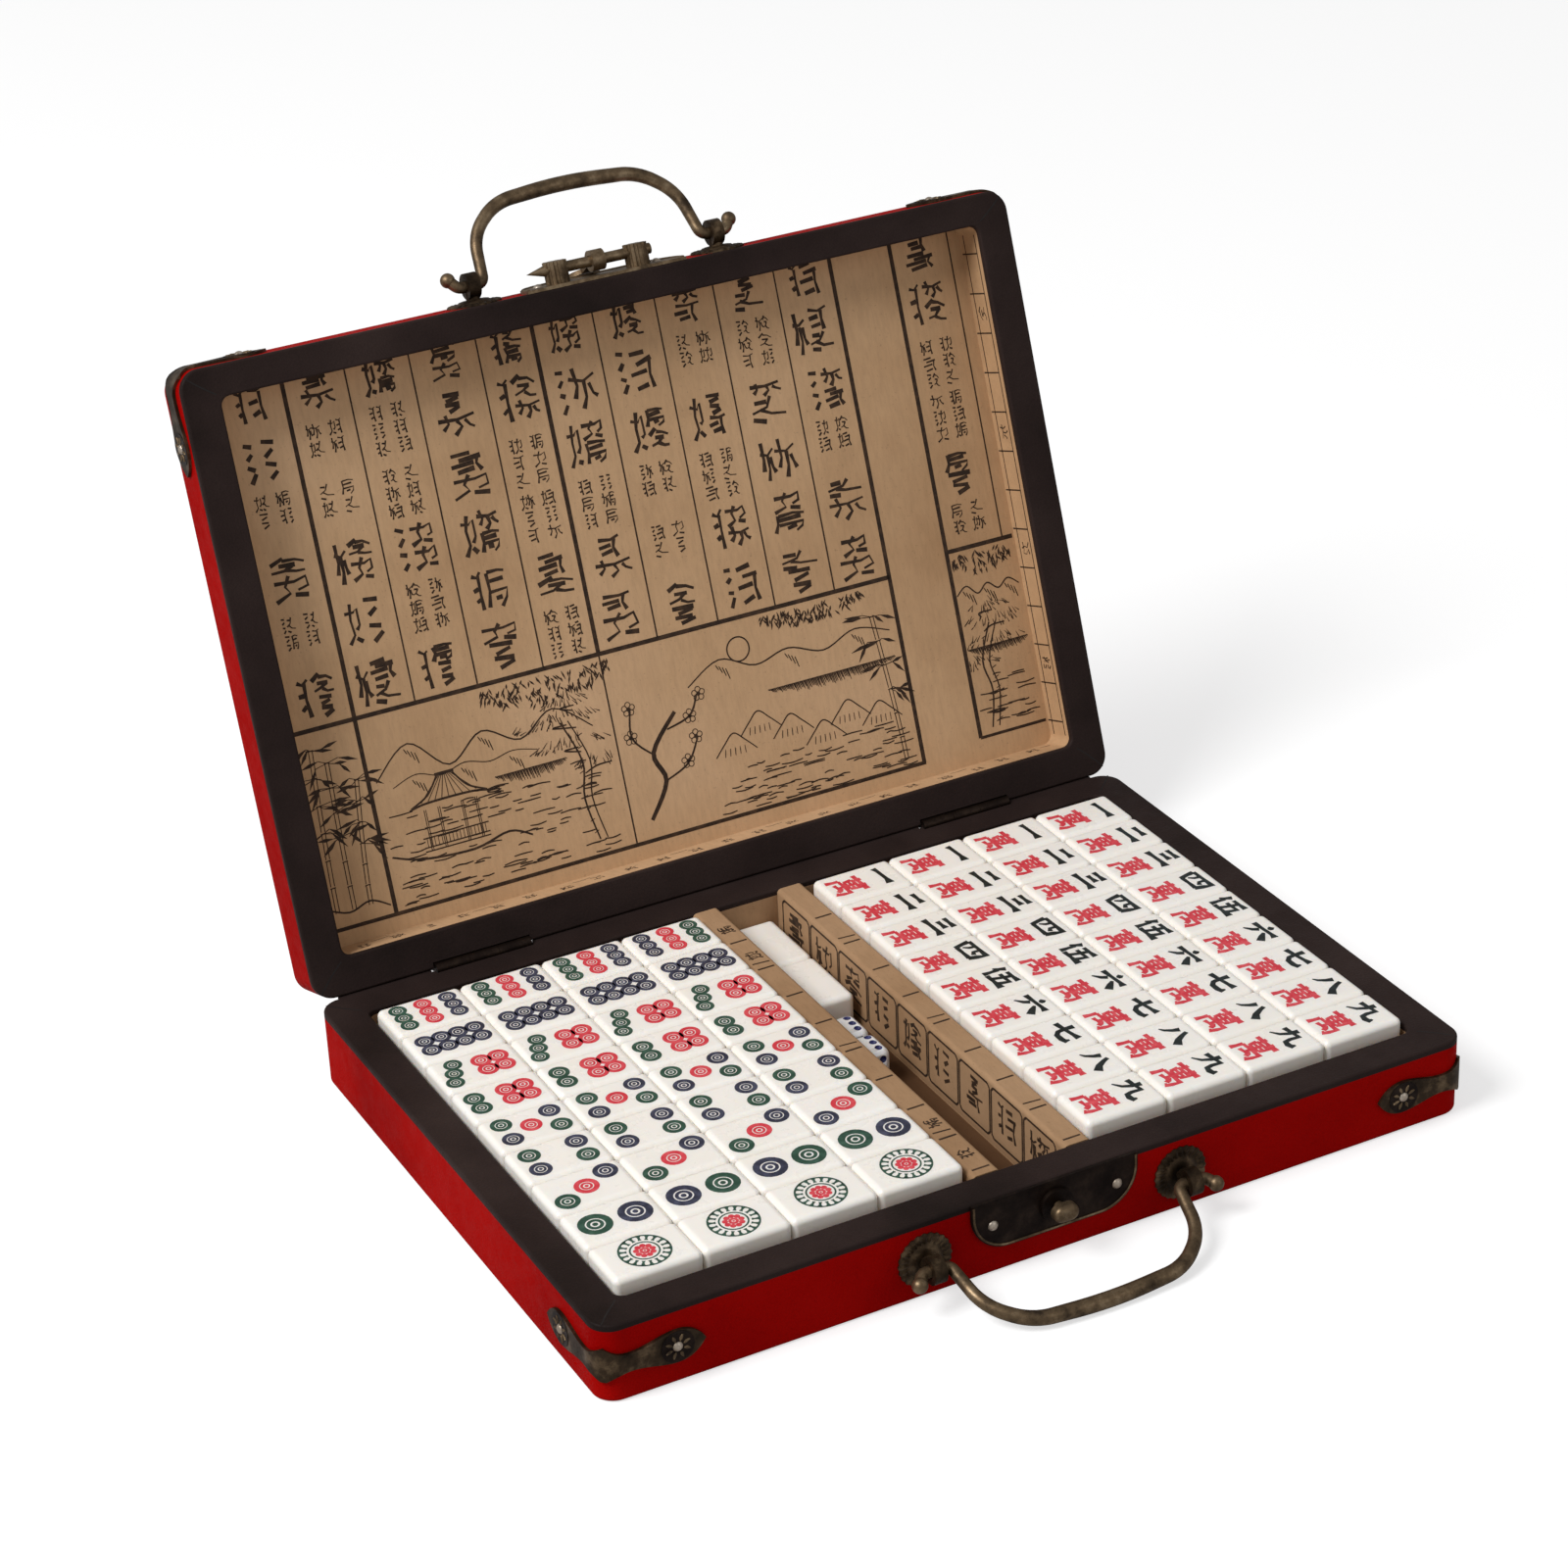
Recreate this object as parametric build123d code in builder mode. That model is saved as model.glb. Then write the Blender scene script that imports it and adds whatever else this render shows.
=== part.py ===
from build123d import *
import os
from math import acos, cos, degrees, radians, sin

# A mahjong case that opens like a book: a base tray and a shallower lid, hinged along the
# long rear edge, with bronze fittings, two blocks of tiles, two spare tiles and two dice.
# X runs along the hinge, the front faces -Y, Z is up, and the origin is the middle of the
# underside of the base. Lengths are in millimetres, angles in degrees.

os.makedirs("parts", exist_ok=True)

# Tiles and dice
tile_length = 22.0
tile_width = 14.8
tile_thickness = 10.0
tile_edge_radius = 1.5
tile_gap = 0.15
tile_columns = 4
tile_rows = 9
tile_clearance = 0.7
front_tile_gap = 2.4
rear_tile_gap = 4.15
die_size = 10.0
die_edge_radius = 2.2
die_gap = 0.5
dice_setback = 7.0
channel_width = 17.1
channel_end_gap = 0.4
channel_side_gap = 0.3

# Case walls and linings
wall_thickness = 9.0
floor_thickness = 2.4
lid_top_thickness = 2.4
lining_thickness = 0.4
divider_thickness = 7.2
divider_edge_radius = 1.2
divider_gap = 0.05
tile_rise = 2.3
lid_headroom = 9.4
lid_setback = 1.5
closing_gap = 0.1
rim_height = 1.6
rim_edge_radius = 0.6
corner_radius = 5.5
inner_corner_radius = 2.5
shell_edge_radius = 1.2

# Nails
nail_head_radius = 1.3
nail_head_height = 0.8
nail_shaft_radius = 0.6
nail_length = 5.0
nail_clearance = 0.05

# Corner brackets
bracket_thickness = 0.8
bracket_reach = 25.5
bracket_root_half = 4.3
bracket_neck_at = 10.0
bracket_neck_half = 2.6
bracket_leaf_at = 18.5
bracket_leaf_half = 4.2
seat_gap = 0.02

# Bail handles
handle_span = 68.0
rosette_radius = 7.0
rosette_step_radius = 4.2
rosette_thickness = 1.3
rosette_edge = 0.5
rosette_dish = 0.7
post_standoff = 4.8
post_stem_radius = 1.8
post_stem_length = 5.0
post_clearance = 0.08
eye_radius = 3.3
eye_width = 3.2
bail_radius = 1.5
bail_grip_radius = 1.95
bail_taper_share = 0.14
bail_clearance = 0.08
bail_drop = 22.0
bail_leg_gap = 2.0
bail_shoulder_inset = 2.0
bail_shoulder_drop = 13.0
bail_foot_inset = 10.4
bail_foot_drop = 20.4
bail_bend_gap = 1.8
bail_tip_out = 1.9
bail_tip_rise = 2.6
bail_bend_radius = 2.2
bail_shoulder_radius = 14.0
bail_foot_radius = 15.0
bail_middle_radius = 120.0
bail_tip_radius = 1.9
table_gap = 0.15
lid_bail_angle = 115.0

# Latch
plate_width = 44.0
plate_height = 13.4
plate_thickness = 0.8
plate_corner_radius = 10.0
plate_edge_gap = 0.2
plate_nail_spacing = 33.0
plate_nail_drop = 6.8
barrel_spacing = 22.4
barrel_radius = 3.1
barrel_height = 6.4
barrel_flutes = 10
barrel_flute_radius = 0.55
rod_radius = 1.4
rod_standoff = 4.4
rod_rise = 6.2
rod_point_length = 5.0
rod_end_length = 0.8
knob_drop = 6.4
knob_collar_radius = 4.2
knob_collar_height = 1.1
knob_stem_radius = 1.2
knob_stem_length = 4.0
knob_head_length = 6.4
knob_head_width = 4.2
knob_head_thickness = 2.8
knob_head_edge_radius = 1.3
knob_clearance = 0.08
hasp_thickness = 1.2
hasp_gap = 0.4
hasp_width = 9.4
hasp_ring_width = 3.6
hasp_ring_wall = 1.2
hasp_ring_clearance = 0.1
hasp_slot_clearance = 0.55
hasp_end_margin = 2.4
hasp_open_angle = 200.0

# Hinges
lid_open_angle = 109.0
hinge_spacing = 140.0
hinge_width = 26.0
hinge_leaf_height = 12.0
hinge_leaf_thickness = 0.8
knuckle_radius = 1.5
knuckle_width = 8.0
knuckle_sink = 1.4
knuckle_side_gap = 0.1
hinge_pin_radius = 0.7
hinge_pin_clearance = 0.05
hinge_notch_gap = 0.3
hinge_nail_spacing = 17.0
hinge_nail_drop = 7.5
stop_width = 7.0
stop_gap = 0.05
stop_near = 3.2
stop_reach = 6.5
stop_shelf = 0.4
stop_nose = 0.9
stop_foot = 7.0

# Sizes that follow from the ones above
block_length = tile_columns * tile_length + (tile_columns - 1) * tile_gap
block_depth = tile_rows * tile_width + (tile_rows - 1) * tile_gap
compartment_length = block_length + 2 * tile_clearance
compartment_depth = block_depth + front_tile_gap + rear_tile_gap
rim_width = wall_thickness + lining_thickness
case_width = 2 * (rim_width + compartment_length + divider_thickness) + channel_width
base_depth = compartment_depth + 2 * rim_width
floor_level = floor_thickness + lining_thickness
base_height = floor_level + 2 * tile_thickness - tile_rise
lid_depth = base_depth - lid_setback
lid_height = lid_top_thickness + lining_thickness + tile_rise + lid_headroom
half_width = case_width / 2
half_depth = base_depth / 2
lid_level = base_height + closing_gap
lid_front = half_depth - lid_depth
opening_length = case_width - 2 * rim_width
lid_middle = (half_depth + lid_front) / 2

# Reference planes on the outer faces, each with its Z pointing out and its Y pointing up
base_front_plane = Plane(origin=(0, -half_depth, 0), x_dir=(1, 0, 0), z_dir=(0, -1, 0))
lid_front_plane = Plane(origin=(0, lid_front, 0), x_dir=(1, 0, 0), z_dir=(0, -1, 0))
rear_plane = Plane(origin=(0, half_depth, 0), x_dir=(-1, 0, 0), z_dir=(0, 1, 0))

# The lid and all it carries are drawn closed, and then turned back about the hinge pin.
hinge_axis_y = half_depth + knuckle_radius - knuckle_sink
hinge_axis_z = base_height + closing_gap / 2
hinge_axis = Axis((0, hinge_axis_y, hinge_axis_z), (1, 0, 0))


def save(piece, label):
    """Write one finished piece, named for its node."""
    piece.label = label
    export_step(piece, f"parts/{label}.step")


def save_on_lid(piece, label):
    """Write a piece that rides on the lid, turned back with it."""
    save(piece.rotate(hinge_axis, -lid_open_angle), label)


def point_plane(face_plane, across, up):
    """A plane on a face, moved to a point of that face."""
    return Plane(
        origin=face_plane.from_local_coords((across, up, 0)),
        x_dir=face_plane.x_dir,
        z_dir=face_plane.z_dir,
    )


def turning_plane(plane):
    """The plane that holds a turned profile: X is the radius and Y points out of the face."""
    return Plane(origin=plane.origin, x_dir=plane.x_dir, z_dir=-plane.y_dir)


def drill(planes, radius, depth):
    """Cut a blind round hole into the piece under way at each plane."""
    with Locations(*planes):
        Hole(radius, depth)


def nails(planes):
    """Round-headed nails, one at each plane, as a group of solids."""
    with BuildPart() as group:
        for plane in planes:
            with BuildSketch(turning_plane(plane)):
                with BuildLine():
                    Polyline(
                        (0, nail_head_height),
                        (0, -nail_length),
                        (nail_shaft_radius, -nail_length),
                        (nail_shaft_radius, 0),
                        (nail_head_radius, 0),
                    )
                    RadiusArc(
                        (0, nail_head_height),
                        (nail_head_radius, 0),
                        (nail_head_radius**2 + nail_head_height**2) / (2 * nail_head_height),
                    )
                make_face()
            revolve(axis=Axis(plane.origin, plane.z_dir))
    return group.part


# Where the fittings sit: handles and corner brackets halfway up each front
base_mid_height = base_height / 2
lid_mid_height = lid_level + lid_height / 2
base_post_planes = [
    point_plane(base_front_plane, side * handle_span / 2, base_mid_height) for side in (-1, 1)
]
lid_post_planes = [
    point_plane(lid_front_plane, side * handle_span / 2, lid_mid_height) for side in (-1, 1)
]
base_plate_top = base_height - plate_edge_gap
lid_plate_foot = lid_level + plate_edge_gap
base_plate_nail_planes = [
    point_plane(
        base_front_plane.offset(plate_thickness),
        side * plate_nail_spacing / 2,
        base_plate_top - plate_nail_drop,
    )
    for side in (-1, 1)
]
lid_plate_nail_planes = [
    point_plane(
        lid_front_plane.offset(plate_thickness),
        side * plate_nail_spacing / 2,
        lid_plate_foot + plate_nail_drop,
    )
    for side in (-1, 1)
]
knob_height = base_plate_top - knob_drop
knob_plane = point_plane(base_front_plane, 0, knob_height)
hinge_centres = (-hinge_spacing / 2, hinge_spacing / 2)
base_hinge_nail_planes = [
    point_plane(
        rear_plane.offset(hinge_leaf_thickness),
        centre + side * hinge_nail_spacing / 2,
        hinge_axis_z - hinge_nail_drop,
    )
    for centre in hinge_centres
    for side in (-1, 1)
]
lid_hinge_nail_planes = [
    point_plane(
        rear_plane.offset(hinge_leaf_thickness),
        centre + side * hinge_nail_spacing / 2,
        hinge_axis_z + hinge_nail_drop,
    )
    for centre in hinge_centres
    for side in (-1, 1)
]


def bracket_nail_planes(side, front, height):
    """The nail planes of one corner bracket: one on its front leg and one on its side leg."""
    face_reach = seat_gap + bracket_thickness
    front_face = Plane(
        origin=(side * (half_width - bracket_leaf_at), front - face_reach, height),
        x_dir=(1, 0, 0),
        z_dir=(0, -1, 0),
    )
    side_face = Plane(
        origin=(side * (half_width + face_reach), front + bracket_leaf_at, height),
        x_dir=(0, side, 0),
        z_dir=(side, 0, 0),
    )
    return [front_face, side_face]


base_left_nail_planes = bracket_nail_planes(-1, -half_depth, base_mid_height)
base_right_nail_planes = bracket_nail_planes(1, -half_depth, base_mid_height)
lid_left_nail_planes = bracket_nail_planes(-1, lid_front, lid_mid_height)
lid_right_nail_planes = bracket_nail_planes(1, lid_front, lid_mid_height)
base_bracket_nail_planes = base_left_nail_planes + base_right_nail_planes
lid_bracket_nail_planes = lid_left_nail_planes + lid_right_nail_planes
nail_hole_radius = nail_shaft_radius + nail_clearance
nail_hole_depth = nail_length + nail_clearance
stem_hole_radius = post_stem_radius + post_clearance


def drill_for_fittings(nail_planes, post_planes):
    """Holes for the nails and for the two handle posts, in a shell under way."""
    drill(nail_planes, nail_hole_radius, nail_hole_depth)
    drill(post_planes, stem_hole_radius, post_stem_length + post_clearance)


def groove_for_knuckles():
    """Round grooves along the rear edge, which the hinge knuckles sink into."""
    with Locations(*[(centre, hinge_axis_y, hinge_axis_z) for centre in hinge_centres]):
        Cylinder(
            knuckle_radius + hinge_notch_gap,
            hinge_width + 2 * hinge_notch_gap,
            rotation=(0, 90, 0),
            mode=Mode.SUBTRACT,
        )


# Base tray: the red-covered walls and floor, up to the underside of the black rim
shell_height = base_height - rim_height
with BuildPart() as base_shell:
    with BuildSketch():
        RectangleRounded(case_width, base_depth, corner_radius)
    extrude(amount=shell_height)
    fillet(base_shell.faces().sort_by(Axis.Z)[0].edges(), shell_edge_radius)
    with BuildSketch(Plane.XY.offset(floor_thickness)):
        RectangleRounded(
            opening_length + 2 * lining_thickness,
            compartment_depth + 2 * lining_thickness,
            inner_corner_radius + lining_thickness,
        )
    extrude(amount=shell_height, mode=Mode.SUBTRACT)
    drill_for_fittings(
        base_bracket_nail_planes + base_plate_nail_planes + base_hinge_nail_planes,
        base_post_planes,
    )
    drill([knob_plane], knob_stem_radius + knob_clearance, knob_stem_length + knob_clearance)
    groove_for_knuckles()
save(base_shell.part, "base_shell")

# Black rim along the top of the base walls
with BuildPart() as base_rim:
    with BuildSketch(Plane.XY.offset(shell_height)):
        RectangleRounded(case_width, base_depth, corner_radius)
        RectangleRounded(
            opening_length, compartment_depth, inner_corner_radius, mode=Mode.SUBTRACT
        )
    extrude(amount=rim_height)
    fillet(base_rim.faces().sort_by(Axis.Z)[-1].edges(), rim_edge_radius)
    groove_for_knuckles()
save(base_rim.part, "base_rim")

# Paper lining of the base: one sheet up the walls and across the floor
with BuildPart() as base_lining:
    with BuildSketch(Plane.XY.offset(floor_thickness)):
        RectangleRounded(
            opening_length + 2 * lining_thickness,
            compartment_depth + 2 * lining_thickness,
            inner_corner_radius + lining_thickness,
        )
    extrude(amount=shell_height - floor_thickness)
    with BuildSketch(Plane.XY.offset(floor_level)):
        RectangleRounded(opening_length, compartment_depth, inner_corner_radius)
    extrude(amount=shell_height, mode=Mode.SUBTRACT)
save(base_lining.part, "base_lining")

# Two covered boards that part the middle channel from the tile blocks
divider_middle = channel_width / 2 + divider_thickness / 2
for label, side in (("left_divider", -1), ("right_divider", 1)):
    with BuildPart() as divider:
        with BuildSketch(Plane((side * divider_middle, 0, floor_level))):
            Rectangle(divider_thickness, compartment_depth - 2 * divider_gap)
        extrude(amount=base_height - floor_level)
        top_edges = divider.faces().sort_by(Axis.Z)[-1].edges().filter_by(Axis.Y)
        fillet(top_edges, divider_edge_radius)
    save(divider.part, label)

# Lid tray, drawn closed: the red-covered top and walls above the lid's own black rim. Its
# front is set back from the base's, and its hollow lines up with the base's opening.
lid_wall_foot = lid_level + rim_height
with BuildPart() as lid_shell:
    with BuildSketch(Plane((0, lid_middle, lid_wall_foot))):
        RectangleRounded(case_width, lid_depth, corner_radius)
    extrude(amount=lid_height - rim_height)
    fillet(lid_shell.faces().sort_by(Axis.Z)[-1].edges(), shell_edge_radius)
    with BuildSketch(Plane.XY.offset(lid_wall_foot)):
        RectangleRounded(
            opening_length + 2 * lining_thickness,
            compartment_depth + 2 * lining_thickness,
            inner_corner_radius + lining_thickness,
        )
    extrude(amount=lid_height - rim_height - lid_top_thickness, mode=Mode.SUBTRACT)
    drill_for_fittings(
        lid_bracket_nail_planes + lid_plate_nail_planes + lid_hinge_nail_planes,
        lid_post_planes,
    )
    groove_for_knuckles()
save_on_lid(lid_shell.part, "lid_shell")

with BuildPart() as lid_rim:
    with BuildSketch(Plane.XY.offset(lid_level)):
        with Locations((0, lid_middle)):
            RectangleRounded(case_width, lid_depth, corner_radius)
        RectangleRounded(
            opening_length, compartment_depth, inner_corner_radius, mode=Mode.SUBTRACT
        )
    extrude(amount=rim_height)
    fillet(lid_rim.faces().sort_by(Axis.Z)[0].edges(), rim_edge_radius)
    groove_for_knuckles()
save_on_lid(lid_rim.part, "lid_rim")

with BuildPart() as lid_lining:
    with BuildSketch(Plane.XY.offset(lid_wall_foot)):
        RectangleRounded(
            opening_length + 2 * lining_thickness,
            compartment_depth + 2 * lining_thickness,
            inner_corner_radius + lining_thickness,
        )
    extrude(amount=lid_height - rim_height - lid_top_thickness)
    with BuildSketch(Plane.XY.offset(lid_wall_foot)):
        RectangleRounded(opening_length, compartment_depth, inner_corner_radius)
    extrude(amount=lid_height - rim_height - lid_top_thickness - lining_thickness, mode=Mode.SUBTRACT)
save_on_lid(lid_lining.part, "lid_lining")

# Tiles: the upper layer has nine rows of four, one node a row, and the lower layer is one
# node a block. Row 1 is the front row of the left block and the rear row of the right one.
block_front = -half_depth + rim_width + front_tile_gap
block_left_edges = {
    "left": -half_width + rim_width + tile_clearance,
    "right": half_width - rim_width - tile_clearance - block_length,
}


def tile_spots(side, rows, level):
    """Middles of the tiles' undersides, for some rows of one block."""
    first_x = block_left_edges[side] + tile_length / 2
    first_y = block_front + tile_width / 2
    return [
        (first_x + column * (tile_length + tile_gap), first_y + row * (tile_width + tile_gap), level)
        for row in rows
        for column in range(tile_columns)
    ]


def tiles(spots, length_x, length_y):
    """Plain tiles with rounded edges, one on each spot, as a group of solids."""
    with BuildPart() as one:
        Box(length_x, length_y, tile_thickness, align=(Align.CENTER, Align.CENTER, Align.MIN))
        fillet(one.edges(), tile_edge_radius)
    with BuildPart() as group:
        with Locations(*spots):
            add(one.part)
    return group.part


upper_level = floor_level + tile_thickness
for number in range(1, tile_rows + 1):
    dot_row = tile_spots("left", [number - 1], upper_level)
    save(tiles(dot_row, tile_length, tile_width), f"dot_tiles_{number}")
    character_row = tile_spots("right", [tile_rows - number], upper_level)
    save(tiles(character_row, tile_length, tile_width), f"character_tiles_{number}")
for side in ("left", "right"):
    lower_block = tile_spots(side, range(tile_rows), floor_level)
    save(tiles(lower_block, tile_length, tile_width), f"lower_tiles_{side}")

# Two spare tiles end to end at the rear of the channel, then two dice
channel_rear = half_depth - rim_width - channel_end_gap
spare_x = -channel_width / 2 + channel_side_gap + tile_width / 2
for place, label in enumerate(("spare_tile_rear", "spare_tile_front")):
    spare_y = channel_rear - tile_length / 2 - place * (tile_length + tile_gap)
    save(tiles([(spare_x, spare_y, floor_level)], tile_width, tile_length), label)

dice_rear = channel_rear - 2 * tile_length - tile_gap - dice_setback
dice_x = -channel_width / 2 + channel_side_gap + die_size / 2
for place, label in enumerate(("die_rear", "die_front")):
    die_y = dice_rear - die_size / 2 - place * (die_size + die_gap)
    with BuildPart() as die:
        with Locations((dice_x, die_y, floor_level)):
            Box(die_size, die_size, die_size, align=(Align.CENTER, Align.CENTER, Align.MIN))
        fillet(die.edges(), die_edge_radius)
    save(die.part, label)


def corner_bracket(side, front, depth, height, nail_planes):
    """A bracket with two leaf-shaped legs that wraps one front corner of the base or the lid."""
    proud = seat_gap + bracket_thickness
    bend = corner_radius + proud - (corner_radius + seat_gap) * cos(radians(45))
    outer_corner = (side * (half_width + proud), front - proud, height)
    with BuildPart() as legs:
        for along, inward in (((-side, 0, 0), (0, 1, 0)), ((0, 1, 0), (-side, 0, 0))):
            leg_plane = Plane(
                origin=outer_corner,
                x_dir=along,
                z_dir=Vector(along).cross(Vector(0, 0, 1)),
            )
            with BuildSketch(leg_plane):
                with BuildLine():
                    Spline(
                        (bend, bracket_root_half),
                        (proud + bracket_neck_at, bracket_neck_half),
                        (proud + bracket_leaf_at, bracket_leaf_half),
                        (proud + bracket_reach, 0),
                    )
                    Line((0, bracket_root_half), (bend, bracket_root_half))
                    Line((0, 0), (0, bracket_root_half))
                    Line((0, 0), (proud + bracket_reach, 0))
                make_face()
                mirror(about=Plane.XZ)
            extrude(amount=bend, dir=inward)
    with BuildPart() as piece:
        with BuildSketch(Plane((0, front + depth / 2, height - bracket_root_half))):
            RectangleRounded(case_width + 2 * proud, depth + 2 * proud, corner_radius + proud)
            RectangleRounded(
                case_width + 2 * seat_gap,
                depth + 2 * seat_gap,
                corner_radius + seat_gap,
                mode=Mode.SUBTRACT,
            )
        extrude(amount=2 * bracket_root_half)
        add(legs.part, mode=Mode.INTERSECT)
        drill(nail_planes, nail_hole_radius, 2 * bracket_thickness)
    return piece.part


# Corner brackets on the two front corners of the base and of the lid, and their nails
for label, side, base_planes, lid_planes in (
    ("left", -1, base_left_nail_planes, lid_left_nail_planes),
    ("right", 1, base_right_nail_planes, lid_right_nail_planes),
):
    base_bracket = corner_bracket(side, -half_depth, base_depth, base_mid_height, base_planes)
    lid_bracket = corner_bracket(side, lid_front, lid_depth, lid_mid_height, lid_planes)
    save(base_bracket, f"base_corner_{label}")
    save_on_lid(lid_bracket, f"lid_corner_{label}")
save(nails(base_bracket_nail_planes), "base_corner_nails")
save_on_lid(nails(lid_bracket_nail_planes), "lid_corner_nails")


# Bail handles: a rosette and an eyed post at each end, and a bent bar that turns in the eyes
def rosettes(planes):
    """Stepped round rosettes under the two handle posts."""
    shoulder = (rosette_radius + rosette_step_radius) / 2
    with BuildPart() as group:
        for plane in planes:
            with BuildSketch(turning_plane(plane)):
                with BuildLine():
                    Polyline(
                        (rosette_step_radius, rosette_thickness),
                        (stem_hole_radius, rosette_thickness),
                        (stem_hole_radius, 0),
                        (rosette_radius, 0),
                        (rosette_radius, rosette_edge),
                    )
                    Spline(
                        (rosette_radius, rosette_edge),
                        (shoulder, rosette_thickness - rosette_edge / 2),
                        (rosette_step_radius, rosette_dish),
                    )
                    Line((rosette_step_radius, rosette_dish), (rosette_step_radius, rosette_thickness))
                make_face()
            revolve(axis=Axis(plane.origin, plane.z_dir))
    return group.part


def posts(planes):
    """Posts with a round stem in the wall and an eye across the top for the bar."""
    with BuildPart() as group:
        for plane in planes:
            with BuildSketch(plane.offset(-post_stem_length)):
                Circle(post_stem_radius)
            extrude(amount=post_stem_length + post_standoff - bail_radius)
            eye_plane = Plane(
                origin=plane.from_local_coords((-eye_width / 2, 0, post_standoff)),
                x_dir=plane.z_dir,
                z_dir=plane.x_dir,
            )
            with BuildSketch(eye_plane):
                Circle(eye_radius)
            extrude(amount=eye_width)
            with BuildSketch(eye_plane):
                Circle(bail_radius + bail_clearance)
            extrude(amount=eye_width, mode=Mode.SUBTRACT)
    return group.part


def bail(pivot, angle):
    """The bent bar, drawn flat, then hung on its pivot and swung out from straight down.

    It is thickest in the middle, where it is gripped, and thinner through the eyes.
    """
    bend_half = (handle_span + eye_width) / 2 + bail_bend_gap
    leg_half = (handle_span - eye_width) / 2 - bail_leg_gap
    left_half = [
        (-(bend_half + bail_tip_out), bail_tip_rise),
        (-bend_half, 0),
        (-leg_half, 0),
        (-(leg_half - bail_shoulder_inset), bail_shoulder_drop),
        (-(leg_half - bail_foot_inset), bail_foot_drop),
    ]
    right_half = [(-across, down) for across, down in reversed(left_half)]
    left_bends = [bail_bend_radius, bail_bend_radius, bail_shoulder_radius, bail_foot_radius]
    bends = left_bends + [bail_middle_radius] + left_bends[::-1]
    with BuildPart() as piece:
        with BuildLine() as path:
            FilletPolyline(*left_half, (0, bail_drop), *right_half, radius=bends)
        for share, radius in (
            (0, bail_radius),
            (bail_taper_share, bail_radius),
            (0.5, bail_grip_radius),
            (1 - bail_taper_share, bail_radius),
            (1, bail_radius),
        ):
            with BuildSketch(Plane(origin=path.line @ share, z_dir=path.line % share)):
                Circle(radius)
        sweep(path=path.line, multisection=True)
        with Locations(path.line @ 0, path.line @ 1):
            Sphere(bail_tip_radius)
    swing = radians(angle)
    hung = Plane(origin=pivot, x_dir=(1, 0, 0), z_dir=(0, cos(swing), -sin(swing)))
    return piece.part.moved(Location(hung))


base_pivot = (0, -half_depth - post_standoff, base_mid_height)
lid_pivot = (0, lid_front - post_standoff, lid_mid_height)
base_bail_angle = degrees(acos((base_mid_height - bail_grip_radius - table_gap) / bail_drop))
save(rosettes(base_post_planes), "base_handle_rosettes")
save(posts(base_post_planes), "base_handle_posts")
save(bail(base_pivot, base_bail_angle), "base_handle_bail")
save_on_lid(rosettes(lid_post_planes), "lid_handle_rosettes")
save_on_lid(posts(lid_post_planes), "lid_handle_posts")
save_on_lid(bail(lid_pivot, lid_bail_angle), "lid_handle_bail")


# Latch: two half-moon plates, a rod through two fluted barrels on the lid's plate, a hasp
# that swings on the rod, and a turning knob on the base that the hasp's slot drops over
def half_moon(face_plane, straight_edge, outward):
    """A plate under way with one straight edge along the rim and two round far corners."""
    middle = straight_edge + outward * plate_height / 2
    with BuildSketch(point_plane(face_plane, 0, middle)) as outline:
        Rectangle(plate_width, plate_height)
        far_corners = outline.vertices().sort_by(Axis((0, 0, 0), (0, outward, 0)))[-2:]
        fillet(far_corners, plate_corner_radius)
    extrude(outline.sketch, amount=plate_thickness)


with BuildPart() as base_latch_plate:
    half_moon(base_front_plane, base_plate_top, -1)
    with BuildSketch(knob_plane.offset(plate_thickness)):
        Circle(knob_collar_radius)
    extrude(amount=knob_collar_height)
    collar_face = plate_thickness + knob_collar_height
    drill([knob_plane.offset(collar_face)], knob_stem_radius + knob_clearance, 2 * collar_face)
    drill(base_plate_nail_planes, nail_hole_radius, 2 * plate_thickness)
save(base_latch_plate.part, "base_latch_plate")
save(nails(base_plate_nail_planes), "base_latch_nails")

rod_height = lid_level + rod_rise
rod_y = lid_front - rod_standoff
rod_end_x = barrel_spacing / 2 + barrel_radius
rod_plane = Plane(origin=(0, rod_y, rod_height), x_dir=(1, 0, 0), z_dir=(0, -1, 0))
with BuildPart() as lid_latch_plate:
    half_moon(lid_front_plane, lid_plate_foot, 1)
    for side in (-1, 1):
        plate_face = lid_front_plane.offset(plate_thickness)
        with BuildSketch(point_plane(plate_face, side * barrel_spacing / 2, rod_height)):
            Circle(barrel_radius)
            with PolarLocations(barrel_radius, barrel_flutes):
                Circle(barrel_flute_radius, mode=Mode.SUBTRACT)
        extrude(amount=barrel_height - plate_thickness)
    with Locations((0, rod_y, rod_height)):
        Cylinder(rod_radius + seat_gap, 2 * rod_end_x, rotation=(0, 90, 0), mode=Mode.SUBTRACT)
    drill(lid_plate_nail_planes, nail_hole_radius, 2 * plate_thickness)
save_on_lid(lid_latch_plate.part, "lid_latch_plate")
save_on_lid(nails(lid_plate_nail_planes), "lid_latch_nails")

with BuildPart() as latch_rod:
    with BuildSketch(rod_plane):
        with BuildLine():
            Polyline(
                (-rod_end_x - rod_point_length, 0),
                (-rod_end_x, rod_radius),
                (rod_end_x + rod_end_length, rod_radius),
                (rod_end_x + rod_end_length, 0),
                close=True,
            )
        make_face()
    revolve(axis=Axis((0, rod_y, rod_height), (1, 0, 0)))
save_on_lid(latch_rod.part, "latch_rod")

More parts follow.
